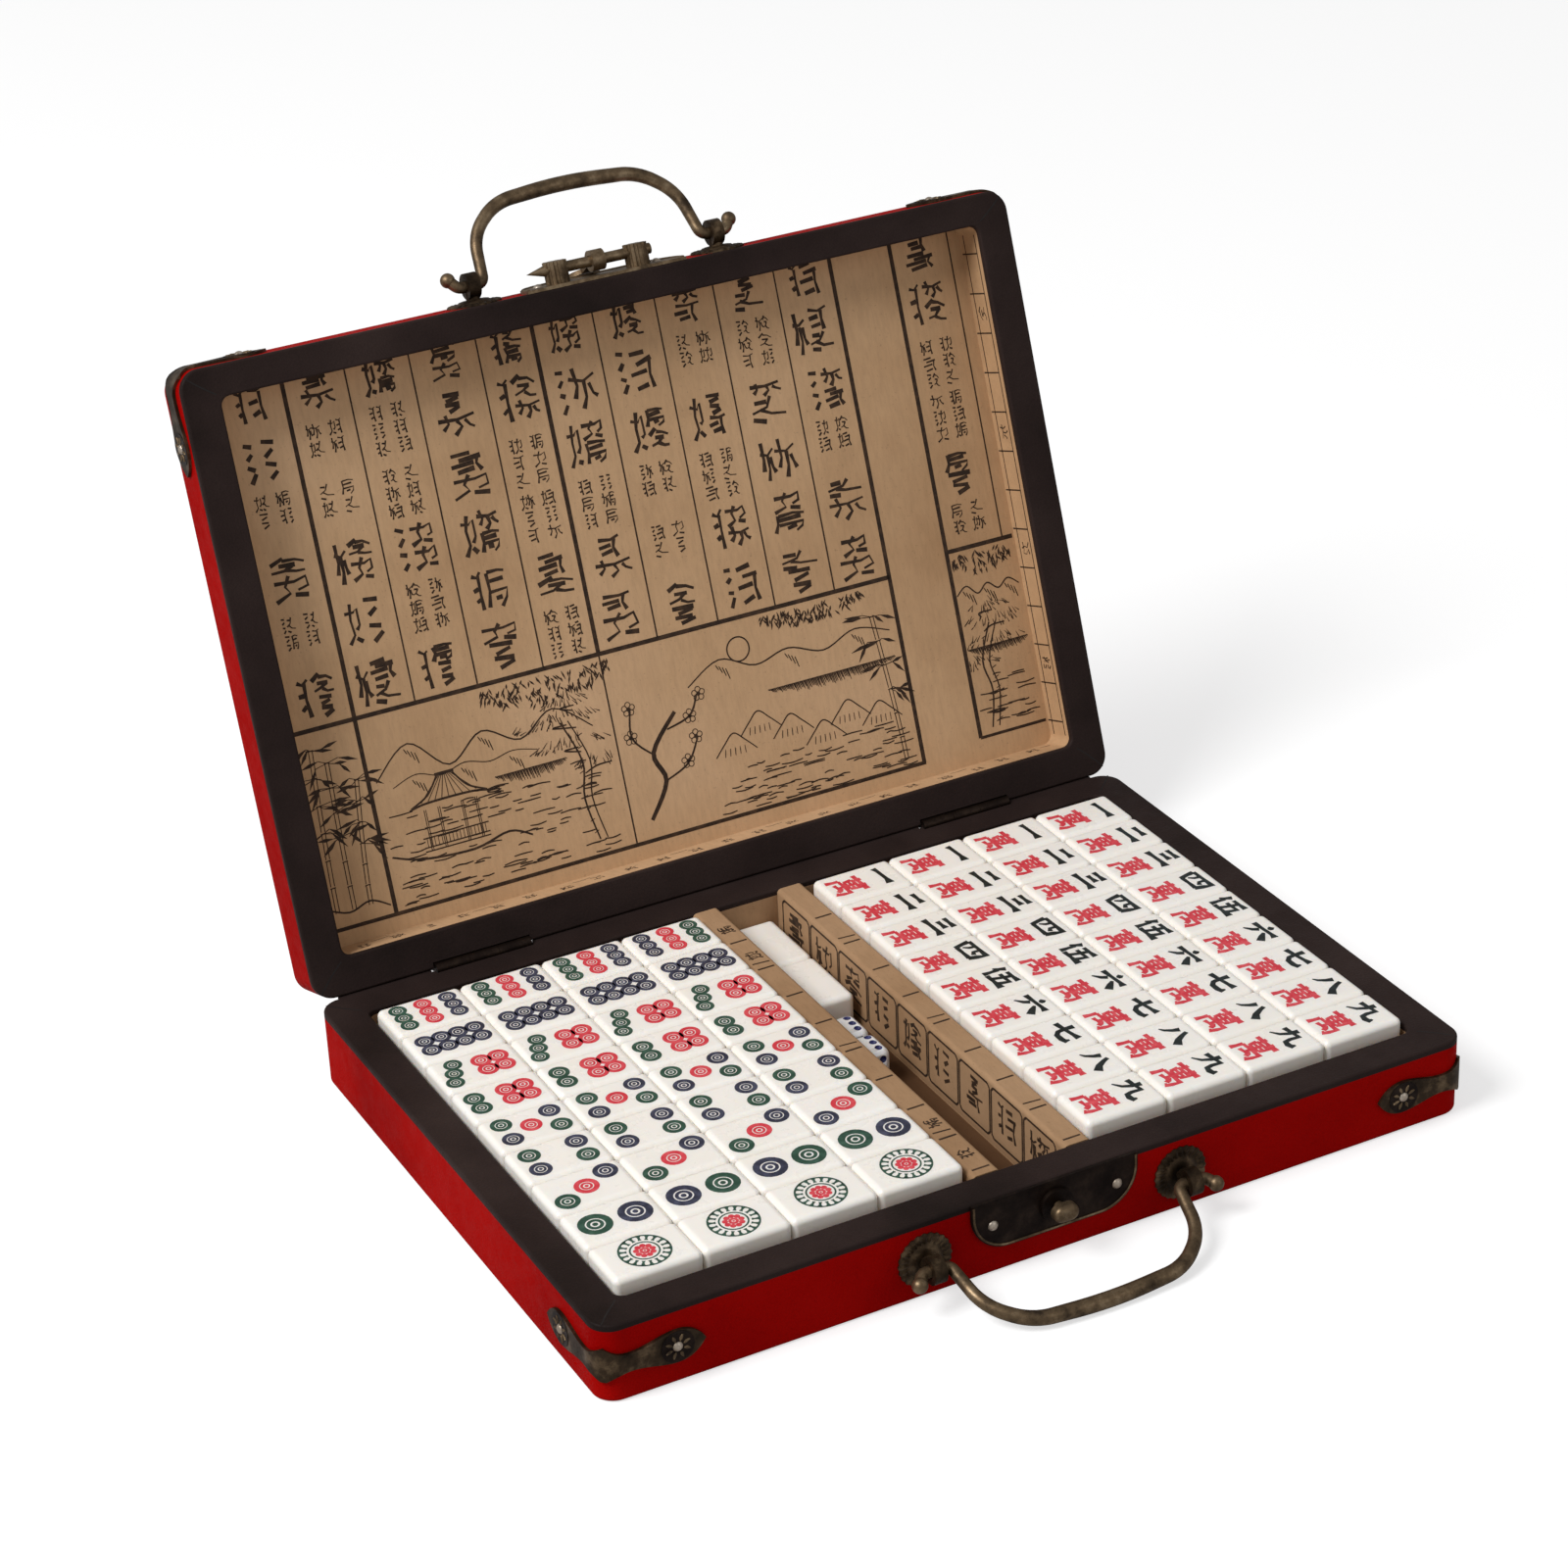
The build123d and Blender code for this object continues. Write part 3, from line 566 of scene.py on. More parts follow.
# Number marks as brush strokes in a box of -1 to 1, upright, with stroke weights
NUMERALS = {
    1: [[(-0.95, -0.1, 0.3), (-0.6, 0.0, 0.2), (0.4, 0.08, 0.2), (0.95, 0.05, 0.42)]],
    2: [
        [(-0.55, 0.5, 0.26), (0.1, 0.56, 0.18), (0.6, 0.6, 0.34)],
        [(-0.95, -0.55, 0.32), (-0.4, -0.48, 0.2), (0.5, -0.42, 0.22), (0.98, -0.5, 0.44)],
    ],
    3: [
        [(-0.55, 0.72, 0.24), (0.0, 0.76, 0.18), (0.55, 0.82, 0.32)],
        [(-0.42, 0.08, 0.24), (0.0, 0.12, 0.18), (0.45, 0.18, 0.32)],
        [(-0.98, -0.7, 0.32), (-0.4, -0.62, 0.2), (0.5, -0.56, 0.22), (0.98, -0.64, 0.42)],
    ],
    4: [
        [(-0.9, 0.55, 0.3), (-0.82, -0.1, 0.24), (-0.68, -0.72, 0.26)],
        [
            (-0.9, 0.6, 0.2), (0.1, 0.66, 0.18), (0.9, 0.68, 0.34), (0.8, 0.0, 0.3),
            (0.66, -0.66, 0.3),
        ],
        [(-0.26, 0.62, 0.2), (-0.3, 0.16, 0.18), (-0.52, -0.22, 0.1)],
        [(0.24, 0.62, 0.2), (0.22, 0.12, 0.2), (0.5, -0.06, 0.24)],
        [(-0.68, -0.62, 0.22), (0.0, -0.58, 0.18), (0.68, -0.56, 0.26)],
    ],
    5: [
        [(-0.62, 0.9, 0.3), (-0.78, 0.4, 0.2), (-0.98, 0.05, 0.1)],
        [(-0.72, 0.36, 0.22), (-0.72, -0.3, 0.2), (-0.72, -0.92, 0.3)],
        [(-0.3, 0.74, 0.2), (0.3, 0.78, 0.18), (0.82, 0.84, 0.3)],
        [(0.2, 0.74, 0.22), (0.08, 0.0, 0.2), (-0.08, -0.7, 0.22)],
        [
            (-0.3, 0.14, 0.2), (0.3, 0.18, 0.18), (0.66, 0.22, 0.28), (0.58, -0.3, 0.22),
            (0.5, -0.7, 0.24),
        ],
        [(-0.5, -0.78, 0.24), (0.2, -0.74, 0.18), (0.98, -0.72, 0.36)],
    ],
    6: [
        [(-0.06, 0.95, 0.26), (0.06, 0.74, 0.3), (0.12, 0.58, 0.16)],
        [(-0.98, 0.2, 0.28), (-0.2, 0.28, 0.18), (0.6, 0.36, 0.2), (0.98, 0.32, 0.36)],
        [(-0.24, 0.02, 0.26), (-0.42, -0.4, 0.22), (-0.85, -0.85, 0.08)],
        [(0.22, 0.0, 0.14), (0.5, -0.4, 0.3), (0.86, -0.82, 0.4)],
    ],
    7: [
        [(-0.95, -0.02, 0.28), (-0.2, 0.14, 0.2), (0.5, 0.3, 0.2), (0.95, 0.42, 0.34)],
        [
            (-0.2, 0.9, 0.3), (-0.22, 0.2, 0.24), (-0.16, -0.42, 0.24),
            (0.1, -0.72, 0.26), (0.6, -0.72, 0.28), (0.86, -0.6, 0.3), (0.84, -0.28, 0.1),
        ],
    ],
    8: [
        [(-0.3, 0.5, 0.3), (-0.42, 0.0, 0.22), (-0.66, -0.5, 0.16), (-0.92, -0.74, 0.06)],
        [(0.1, 0.72, 0.2), (0.24, 0.3, 0.22), (0.52, -0.3, 0.3), (0.94, -0.72, 0.42)],
    ],
    9: [
        [(-0.18, 0.92, 0.3), (-0.24, 0.2, 0.22), (-0.46, -0.4, 0.18), (-0.92, -0.86, 0.08)],
        [
            (-0.86, 0.3, 0.26), (-0.2, 0.42, 0.18), (0.3, 0.52, 0.28), (0.26, -0.2, 0.22),
            (0.34, -0.64, 0.26), (0.66, -0.72, 0.3), (0.92, -0.6, 0.3), (0.9, -0.3, 0.1),
        ],
    ],
}
TEN_THOUSAND = [
    [(-0.9, 0.74, 0.2), (0.0, 0.78, 0.16), (0.9, 0.82, 0.26)],
    [(-0.36, 0.98, 0.2), (-0.34, 0.76, 0.16), (-0.3, 0.6, 0.16)],
    [(0.34, 1.0, 0.2), (0.32, 0.78, 0.16), (0.24, 0.6, 0.14)],
    [(-0.5, 0.46, 0.18), (-0.46, 0.2, 0.16), (-0.42, -0.02, 0.16)],
    [
        (-0.5, 0.48, 0.14), (0.1, 0.52, 0.14), (0.56, 0.54, 0.22), (0.48, 0.26, 0.18),
        (0.42, 0.02, 0.18),
    ],
    [(-0.42, 0.24, 0.12), (0.42, 0.28, 0.12)],
    [(-0.42, 0.0, 0.14), (0.42, 0.02, 0.14)],
    [(0.02, 0.54, 0.16), (0.02, -0.3, 0.16), (0.0, -0.62, 0.14)],
    [(-0.72, -0.2, 0.2), (-0.74, -0.55, 0.18), (-0.8, -0.95, 0.24)],
    [
        (-0.72, -0.22, 0.14), (0.1, -0.18, 0.14), (0.82, -0.16, 0.24),
        (0.78, -0.6, 0.2), (0.7, -0.92, 0.22), (0.5, -0.8, 0.1),
    ],
    [(-0.4, -0.62, 0.18), (0.0, -0.56, 0.12), (0.34, -0.54, 0.16)],
    [(0.16, -0.38, 0.12), (0.34, -0.54, 0.2), (0.44, -0.74, 0.2)],
]

black_numbers, red_numbers = tile_marks(), tile_marks()


def brush_glyph(ink, strokes, x, y, half_height, half_width, weight):
    """A mark whose top points to +X and whose right side points to the front."""
    for stroke in strokes:
        placed = []
        for right, up, width in stroke:
            placed.append((x + up * half_height, y - right * half_width, width * weight))
        ink.stroke(placed)


for column in COLUMNS:
    for number in ROWS:
        tile_x, tile_y = tile_middle(RIGHT_TILES_X, column, 9 - number)
        for ink, strokes, off, half_height, half_width, weight in (
            (black_numbers, NUMERALS[number], 5.6, 3.4, 4.5, 5.6),
            (red_numbers, TEN_THOUSAND, -4.6, 4.8, 4.3, 6.6),
        ):
            brush_glyph(ink, strokes, tile_x + off, tile_y, half_height, half_width, weight)

black_numbers.build("number_marks", tile_black, "right_upper_layer", "white_tile")
red_numbers.build("ten_thousand_marks", tile_red, "right_upper_layer", "white_tile")


# Print on the lid's paper: ruled columns of made-up brush marks over three small views

PAPER_X = 105.0
PAPER_Y = 69.9
PAPER_LEVEL = 32.3
lid_print = Marks(
    *on_body("lid", (0, 0, PAPER_LEVEL), (1, 0, 0), (0, -1, 0)), lift=0.03, sink=0.02
)
FIRST_LINE, MIDDLE_LINE, LAST_LINE = -86, -18.5, 66.8
COLUMN_LINES = [FIRST_LINE, -69.5, -52.3, -34, MIDDLE_LINE, -1.6, 16, 32.8, 50.4, LAST_LINE]
BAND_TOP = -15.4
BAND_FOOT = -66.2
STRIP_LINE, STRIP_END = 84.7, 102
PANEL_TOP, PANEL_FOOT = -13, -64
HEAVY, FINE = 1.15, 0.42

# Parts of made-up marks, as strokes of (x, y) points in a box of -1 to 1
MARK_PARTS = {
    "ladder": [
        [(-0.75, 0.9), (-0.7, 0.0), (-0.9, -0.9)], [(-0.7, 0.85), (0.2, 0.92), (0.85, 0.75)],
        [(-0.65, 0.35), (0.55, 0.45)], [(-0.65, -0.15), (0.75, -0.1), (0.65, -0.6), (0.2, -1.0)],
        [(-0.3, -0.55), (0.25, -0.45)],
    ],
    "comb": [
        [(-1.0, 0.5), (0.1, 0.35), (1.0, 0.6)], [(-0.6, 1.0), (-0.45, 0.1), (-0.75, -0.5)],
        [(0.1, 0.3), (0.2, -0.4), (-0.15, -1.0)], [(0.5, 0.2), (0.7, -0.3), (1.0, -0.55)],
    ],
    "sweeps": [
        [(0.25, 1.0), (-0.1, 0.2), (-0.9, -0.2)], [(-0.5, 0.0), (0.1, -0.45), (1.0, -0.6)],
        [(-0.75, 0.7), (-0.1, 0.62)], [(-0.9, -0.75), (-0.2, -1.0)],
    ],
    "bars": [
        [(-0.9, 0.8), (0.3, 0.9)], [(-0.5, 0.35), (0.9, 0.5)], [(-1.0, -0.2), (0.4, -0.05)],
        [(0.7, 0.45), (0.55, -0.3), (0.8, -1.0)], [(-0.7, -0.9), (0.35, -0.7)],
    ],
    "drops": [
        [(-0.6, 0.95), (0.55, 0.86)], [(0.4, 0.5), (-0.4, 0.2)], [(-0.5, -0.2), (0.45, -0.32)],
        [(0.5, -0.6), (-0.3, -1.0)],
    ],
    "stem": [
        [(-0.7, 0.9), (0.1, 0.75), (0.8, 0.95)], [(0.35, 0.75), (0.3, -0.1), (0.45, -1.0)],
        [(-0.8, 0.1), (0.1, 0.2)], [(-0.6, -0.55), (0.2, -0.4)],
    ],
    "hook": [
        [(-0.9, 0.6), (0.2, 0.5), (0.75, 0.75), (0.8, -0.1), (0.35, -0.35)],
        [(0.0, 1.0), (-0.3, 0.2), (-0.15, -0.5), (-0.9, -1.0)], [(0.1, -0.7), (0.8, -0.9)],
    ],
    "roof": [
        [(-0.2, 1.0), (-0.95, 0.45)], [(-0.3, 0.75), (0.4, 0.6), (0.95, 0.2)],
        [(-0.5, 0.15), (0.45, 0.05)], [(0.3, 0.0), (-0.2, -0.45), (-0.9, -0.6)],
        [(-0.1, -0.5), (0.4, -0.85), (0.95, -0.9)],
    ],
}
NARROW_PARTS = ("drops", "stem", "comb", "hook")


def brush(ink, points, weight):
    """A stroke that lands softly, thins, and ends heavy or in a point."""
    last = len(points) - 1
    shaped = []
    for i, (x, y) in enumerate(points):
        shaped.append((x, y, weight * (1.15 if i == 0 else 0.8 if i < last else 1.35)))
    falling = points[-1][1] < points[0][1] - 1.2 * abs(points[-1][0] - points[0][0])
    if not falling and last > 1:
        shaped[-1] = (*points[-1], weight * 0.7)
    ink.stroke(shaped)


def fill_boxes(ink, x, y, half, weight, boxes, rng, jitter=0.0):
    """Parts of marks brushed into boxes, given as (name, low x, high x, low y, high y)."""
    for name, low_x, high_x, low_y, high_y in boxes:
        for stroke in MARK_PARTS[name]:
            placed = []
            for u, v in stroke:
                if jitter:
                    u, v = u + rng.uniform(-jitter, jitter), v + rng.uniform(-jitter, jitter)
                px = x + half * ((low_x + high_x) / 2 + u * (high_x - low_x) / 2)
                py = y + half * ((low_y + high_y) / 2 + v * (high_y - low_y) / 2)
                placed.append((px, py))
            brush(ink, placed, weight * (rng.uniform(0.85, 1.15) if jitter else 1))


def made_up_mark(ink, x, y, half, rng, weight):
    """A mark of two or three parts, side by side or stacked, that is no real sign."""
    names = sorted(MARK_PARTS)
    if rng.random() < 0.55:
        split = rng.uniform(-0.35, -0.15)
        boxes = [(rng.choice(NARROW_PARTS), -1.0, split - 0.06, -1.0, 1.0)]
        if rng.random() < 0.6:
            level = rng.uniform(-0.1, 0.2)
            boxes.append((rng.choice(names), split + 0.06, 1.0, level + 0.05, 1.05))
            boxes.append((rng.choice(names), split + 0.06, 1.0, -1.0, level - 0.05))
        else:
            boxes.append((rng.choice(names), split + 0.06, 1.0, -1.0, 1.0))
    else:
        level = rng.uniform(-0.15, 0.3)
        inset = rng.uniform(0.0, 0.3)
        boxes = [(rng.choice(names), -1 + inset, 1 - inset, level + 0.05, 1.05)]
        boxes.append((rng.choice(names), -1.0, 1.0, -1.0, level - 0.05))
    fill_boxes(ink, x, y, half, weight, boxes, rng, jitter=0.07)


def small_mark(ink, x, y, half, rng, weight=0.36):
    """A little mark made of one or two parts."""
    names = sorted(MARK_PARTS)
    split = rng.choice((-1.0, -0.2, 0.1))
    boxes = [(rng.choice(names), split, 1.0, -1.0, 1.0)]
    if split > -1.0:
        boxes.append((rng.choice(NARROW_PARTS), -1.0, split, -1.0, 1.0))
    fill_boxes(ink, x, y, half, weight, boxes, rng)


def text_column(ink, left, right, rng):
    """Large marks down a column, with double rows of small ones in some of the places."""
    middle = (left + right) / 2
    made_up_mark(ink, middle, 66.0, 4.2, rng, 0.84)
    plan = [rng.random() < 0.66 for _ in range(5)]
    for place, large in enumerate(plan):
        y = 52.4 - 15.0 * place + rng.uniform(-0.7, 0.7)
        if large:
            made_up_mark(ink, middle + rng.uniform(-0.5, 0.5), y, rng.uniform(4.9, 5.5), rng, 0.88)
            continue
        for row in range(rng.choice((2, 3, 3))):
            for side in (-2.9, 2.9):
                small_mark(ink, middle + side, y + 4.4 - row * 4.4, 1.85, rng)


rng = random.Random(41)
for place in COLUMN_LINES:
    width = HEAVY if place in (FIRST_LINE, MIDDLE_LINE, LAST_LINE) else FINE
    foot = BAND_FOOT if place in (FIRST_LINE, LAST_LINE) else BAND_TOP
    lid_print.line(place, PAPER_Y, place, foot, width)
edges = [-PAPER_X + 1.5, *COLUMN_LINES]
for left, right in zip(edges, edges[1:]):
    text_column(lid_print, left, right, rng)
for x0, y0, x1, y1, width in (
    (-PAPER_X, BAND_TOP, LAST_LINE, BAND_TOP, HEAVY),
    (-PAPER_X, BAND_FOOT, LAST_LINE + 0.5, BAND_FOOT, 1.0),
    (STRIP_LINE, PAPER_Y, STRIP_LINE, PANEL_FOOT, HEAVY),
    (STRIP_END, PAPER_Y, STRIP_END, PANEL_TOP, FINE),
    (STRIP_LINE, PANEL_TOP, PAPER_X, PANEL_TOP, HEAVY),
    (STRIP_LINE, PANEL_FOOT, PAPER_X, PANEL_FOOT, 0.8),
):
    lid_print.line(x0, y0, x1, y1, width)
text_column(lid_print, STRIP_LINE, STRIP_END - 0.5, rng)


def hills(ink, left, right, base, height, rng, width=0.42):
    """A line of hills with short shading strokes under the crests."""
    count = 7
    points = []
    for i in range(count):
        rise = height * (0.35 + 0.65 * rng.random()) if i % 2 else height * 0.2 * rng.random()
        points.append((left + (right - left) * i / (count - 1), base + rise))
    ink.curve(points, width, steps=6)
    for x, y in points[1::2]:
        for k in range(4):
            start = x + 0.9 * k - 1.2
            ink.curve([(start, y - 1.2 - 0.5 * k), (start + 0.7, y - 2.6 - k)], 0.3, steps=2)


def shaded_shore(ink, left, right, level, depth, rng):
    """A dark bank of close slanting strokes that thins out to both ends."""
    count = int((right - left) * 2.6)
    for i in range(count):
        share = (i + 0.5) / count
        x = left + (right - left) * share
        drop = depth * math.sin(math.pi * share) ** 0.5 * rng.uniform(0.55, 1.0)
        ink.stroke([(x, level, 0.36), (x + 0.5, level - drop, 0.16)])


def canopy(ink, left, right, top, depth, rng):
    """Hanging leaves in close clusters below a level edge."""
    for _ in range(int((right - left) * 4.2)):
        x = rng.uniform(left, right)
        reach = depth * (0.35 + 0.65 * math.sin(math.pi * (x - left) / (right - left)))
        y = top - rng.uniform(0.2, reach)
        angle = rng.uniform(-2.3, -0.8)
        leaf = rng.uniform(1.2, 2.6)
        tip = (x + leaf * math.cos(angle), max(y + leaf * math.sin(angle), top - depth - 1))
        ink.stroke([(x, y, 0.12), ((x + tip[0]) / 2, (y + tip[1]) / 2, 0.52), (*tip, 0.06)])


def ripples(ink, left, right, top, foot, rng, count):
    """Scattered level strokes for water."""
    for _ in range(count):
        x, y = rng.uniform(left, right - 4), rng.uniform(foot, top)
        reach = rng.uniform(2, 6.5)
        reach = min(reach, right - x)
        bow = rng.uniform(-0.35, 0.35)
        ink.curve([(x, y), (x + reach / 2, y + bow), (x + reach, y)], 0.36, steps=3)


def bamboo(ink, x, foot, top, lean, rng):
    """A jointed stalk with sprays of pointed leaves."""
    joints = 6
    for i in range(joints):
        y0 = foot + (top - foot) * i / joints
        y1 = foot + (top - foot) * (i + 0.93) / joints
        x0 = x + lean * (i / joints) ** 1.4
        x1 = x + lean * ((i + 0.93) / joints) ** 1.4
        for side in (-0.5, 0.5):
            ink.line(x0 + side, y0, x1 + side, y1, 0.24)
        ink.line(x1 - 0.75, y1, x1 + 0.75, y1 + 0.1, 0.3)
        if i < 2:
            continue
        for _ in range(5):
            side = rng.choice((-1, 1))
            angle = rng.uniform(-1.1, 0.3)
            reach = rng.uniform(3.4, 6.0)
            sx, sy = x1 + side * rng.uniform(0.6, 3.2), y1 + rng.uniform(-1.0, 1.0)
            ex, ey = sx + side * reach * math.cos(angle), sy + reach * math.sin(angle)
            mx, my = (sx + ex) / 2, (sy + ey) / 2
            ink.stroke([(sx, sy, 0.1), (mx, my, 0.95), (ex, ey, 0.06)])
            ink.line(x1, y1, sx, sy, 0.2)


def pine(ink, x, foot, height, side, rng, low_x, high_x):
    """A leaning trunk of broken lines under flat clouds of needles, inside two limits in X."""
    bends = ((0.0, 0.0), (2.0, 0.35), (0.6, 0.65), (4.5, 1.0))
    trunk = [(x + side * off, foot + height * share) for off, share in bends]
    for shift, width in ((-1.1, 0.5), (1.0, 0.4)):
        ink.curve([(px + shift, py) for px, py in trunk], width)
    for i in range(9):
        share = (i + 0.6) / 10
        cx, cy = x + side * (1.4 + 1.4 * math.sin(share * 4)), foot + height * share
        ink.curve([(cx - 0.6, cy), (cx + 0.7, cy + 0.5)], 0.24, 2)
    for level, reach, off in ((0.62, 9, -4), (0.8, 12, 4), (1.0, 13, 6), (1.14, 8, 3)):
        cx, cy = x + side * off, foot + height * level
        for _ in range(int(reach * 3.2)):
            px = cx + rng.uniform(-reach, reach)
            py = cy + rng.uniform(-1.0, 1.0) * (1.9 - 1.4 * abs(px - cx) / reach)
            angle = math.radians(90) + (px - cx) / reach * 1.1 + rng.uniform(-0.35, 0.35)
            needle = rng.uniform(1.3, 2.4)
            tip = (px + needle * math.cos(angle), py + needle * math.sin(angle))
            if low_x < min(px, tip[0]) and max(px, tip[0]) < high_x:
                ink.stroke([(px, py, 0.3), (*tip, 0.08)])
        if low_x < cx - 2 and cx + 2 < high_x:
            ink.curve([(x + side * 1.5, cy - 2.2), (cx - 2, cy - 1.0), (cx + 2, cy - 0.9)], 0.45)


def blossom_branch(ink, left, foot, rng):
    """A knotted branch with three twigs of open five-petal flowers."""
    stem = ((0, 0), (6, 9), (4, 17), (12, 26))
    ink.curve([(left + a, foot + b) for a, b in stem], 1.3)
    for twig in (
        ((6, 9), (13, 12), (17, 18)), ((4.5, 16), (-1, 22), (0, 30)),
        ((9, 22), (16, 24), (19, 29)),
    ):
        ink.curve([(left + a, foot + b) for a, b in twig], 0.55)
        for a, b in twig[1:]:
            x, y = left + a + rng.uniform(-0.6, 0.6), foot + b + rng.uniform(-0.6, 0.6)
            for angle in turns(5):
                ink.ring(*around(x, y, 1.15, angle + 0.3), 0.85, 0.62, 12)
            ink.disc(x, y, 0.4, 8)


def pavilion(ink, x, foot):
    """An open pavilion with a swept roof on four posts."""
    for shift in (-7, -3.2, 3.2, 7):
        for side in (-0.25, 0.25):
            ink.line(x + shift + side, foot, x + shift + side, foot + 10.5, 0.2)
    eaves = ((-11, 11.2), (-7, 12), (0, 12.2), (7, 12), (11, 11.2))
    ink.curve([(x + a, foot + b) for a, b in eaves], 0.6)
    for side in (-1, 1):
        slope = ((10.5, 11.6), (5.5, 14), (2.0, 18.5))
        ink.curve([(x + side * a, foot + b) for a, b in slope], 0.5)
    ink.line(x - 2.6, foot + 18.6, x + 2.6, foot + 18.6, 0.8)
    for i in range(-4, 5):
        ink.line(x + i * 1.9, foot + 12.4, x + i * 0.42, foot + 18.2, 0.2)
    for level in (0, 1.0, 3.4):
        ink.line(x - 9, foot + level, x + 9, foot + level, 0.34)
    for i in range(-8, 9):
        ink.line(x + i, foot + 1.0, x + i, foot + 3.4, 0.16)


# Left panel: bamboo by a bank. Middle: pavilion, hills and water. Right: pine and blossom.
for x, top, lean in ((-101, -20, 2.0), (-96.5, -24, 1.0), (-92, -30, 3.2)):
    bamboo(lid_print, x, -62, top, lean, rng)
lid_print.curve([(-104.5, -60), (-98, -62.5), (-92, -61), (-87, -63.5)], 0.5)
hills(lid_print, -84, -24, -33, 9, rng)
hills(lid_print, -80, -40, -35.5, 4, rng, 0.26)
shaded_shore(lid_print, -53, -33, -39, 3.4, rng)
canopy(lid_print, -52, -16, -16.5, 7.5, rng)
ripples(lid_print, -84.5, -22, -41, -65, rng, 120)
pavilion(lid_print, -66, -53)
lid_print.curve([(-84, -52), (-76, -54.5), (-62, -55.5), (-52, -53.5), (-46, -56)], 0.6)
pine(lid_print, -27, -62, 32, -1, rng, -84, -19)
lid_print.line(MIDDLE_LINE, BAND_TOP, MIDDLE_LINE, BAND_FOOT, FINE)
blossom_branch(lid_print, -13, -61, rng)
hills(lid_print, 4, 64, -30, 8, rng)
lid_print.ring(20, -23.5, 3.4, 3.0, 30)
for x, y in ((14, -47), (22, -43), (31, -46), (40, -50), (48, -46.5), (57, -49)):
    lid_print.curve([(x - 6, y - 3), (x - 3, y), (x, y + 2.4), (x + 3, y), (x + 6, y - 3)], 0.36)
    for k in range(5):
        lid_print.curve([(x - 3 + k * 1.4, y - 1.4), (x - 3.4 + k * 1.5, y - 3.4)], 0.22, 2)
shaded_shore(lid_print, 26, 64, -36, 3.2, rng)
canopy(lid_print, 28, 58, -16.5, 4.5, rng)
ripples(lid_print, 6, 65, -53, -65.5, rng, 80)
bamboo(lid_print, 62, -64, -24, -2.6, rng)
pine(lid_print, 90, -62, 28, 1, rng, 85.3, 104.5)
canopy(lid_print, 85.5, 104, -14, 6.0, rng)
shaded_shore(lid_print, 85.5, 104, -40, 3.0, rng)
ripples(lid_print, 85.5, 104, -48, -62, rng, 26)
hills(lid_print, 85.5, 104.5, -26, 5, rng)
lid_print.build("lid_print", paper_ink, "lid", "printed_paper")


# Print on the hollow's walls: ruled boxes in the lid, and faint marks along its foot

WALL_LEVEL = 27.2
SHALLOW = {"lift": 0.02, "sink": 0.02}
wall_print = Marks(*on_body("lid", (HOLLOW_X, 0, WALL_LEVEL), (0, 1, 0), (0, 0, 1)), **SHALLOW)
low, high, step = -3.2, 2.9, 10.6
for level in (high, low):
    wall_print.line(-68, level, 68, level, 0.4)
for k in range(13):
    start = -63 + step * k
    wall_print.line(start, low, start, 4.8, 0.4)
    if k % 3 == 1:
        small_mark(wall_print, start + step / 2, -0.2, 1.9, rng)
wall_print.build("lid_right_wall_print", paper_ink, "lid", "printed_paper")

foot_print = Marks(*on_body("lid", (0, HOLLOW_Y, WALL_LEVEL), (1, 0, 0), (0, 0, -1)), **SHALLOW)
for k in range(22):
    x = -98 + 9.3 * k
    small_mark(foot_print, x, rng.uniform(-1.5, 1.5), 1.7, rng)
    if k % 3 == 0:
        foot_print.curve([(x + 3, -2.4), (x + 5, -2.0), (x + 8, -2.5)], 0.3, 3)
foot_print.build("lid_foot_wall_print", paper_ink, "lid", "printed_paper")

# Print on the dividers: ruled boxes with a mark in each, and lines that cross the top

DIVIDER_FACE_X = 8.55
DIVIDER_TOP_X = 12.15
DIVIDER_TOP = 20.5
DIVIDER_MIDDLE = 11.65
low, high = -6.8, 7.4
for side, across in ((-1, (0, 1, 0)), (1, (0, -1, 0))):
    face = Marks((side * DIVIDER_FACE_X, 0, DIVIDER_MIDDLE), across, (0, 0, 1), **SHALLOW)
    top = Marks((side * DIVIDER_TOP_X, 0, DIVIDER_TOP), (0, 1, 0), (-1, 0, 0), **SHALLOW)
    for k in range(9):
        start = -67.5 + 15.0 * k
        end = start + 14.2
        ruled = [(start + 1, low), (end - 1, low), (end, low + 1), (end, high - 1)]
        ruled += [(end - 1, high), (start + 1, high), (start, high - 1), (start, low + 1)]
        for (x0, y0), (x1, y1) in zip(ruled, ruled[1:] + ruled[:1]):
            face.line(x0, y0, x1, y1, 0.62)
        made_up_mark(face, start + 7.1, 0.9, 4.3, rng, 0.8)
        top.line(start - 0.4, -2.3, start - 0.4, 2.3, 0.62)
        if k % 3 == 1:
            top.line(start + 2.2, -2.3, start + 2.6, 2.3, 0.5)
        if side < 0 and k in (0, 1, 7, 8):
            small_mark(top, start + 6.5, 0, 1.9, rng, 0.45)
    name = ("left" if side < 0 else "right") + "_divider_print"
    face.build(name, paper_ink, "base", "printed_paper")
    top.build(name + "_top", paper_ink, "base", "printed_paper")


# Channel: a darker sheet on its floor, painted shade for the deep shadow there

CHANNEL_FLOOR = 2.8
channel_shade_sheet = Marks((0, 0, CHANNEL_FLOOR), (1, 0, 0), (0, 1, 0), lift=0.03, sink=0.05)
channel_shade_sheet.polygon([(-8.4, -70.2), (8.4, -70.2), (8.4, 70.2), (-8.4, 70.2)])
channel_shade_sheet.build("channel_floor_painted_shade", painted_shade_paper, "base", "printed_paper")
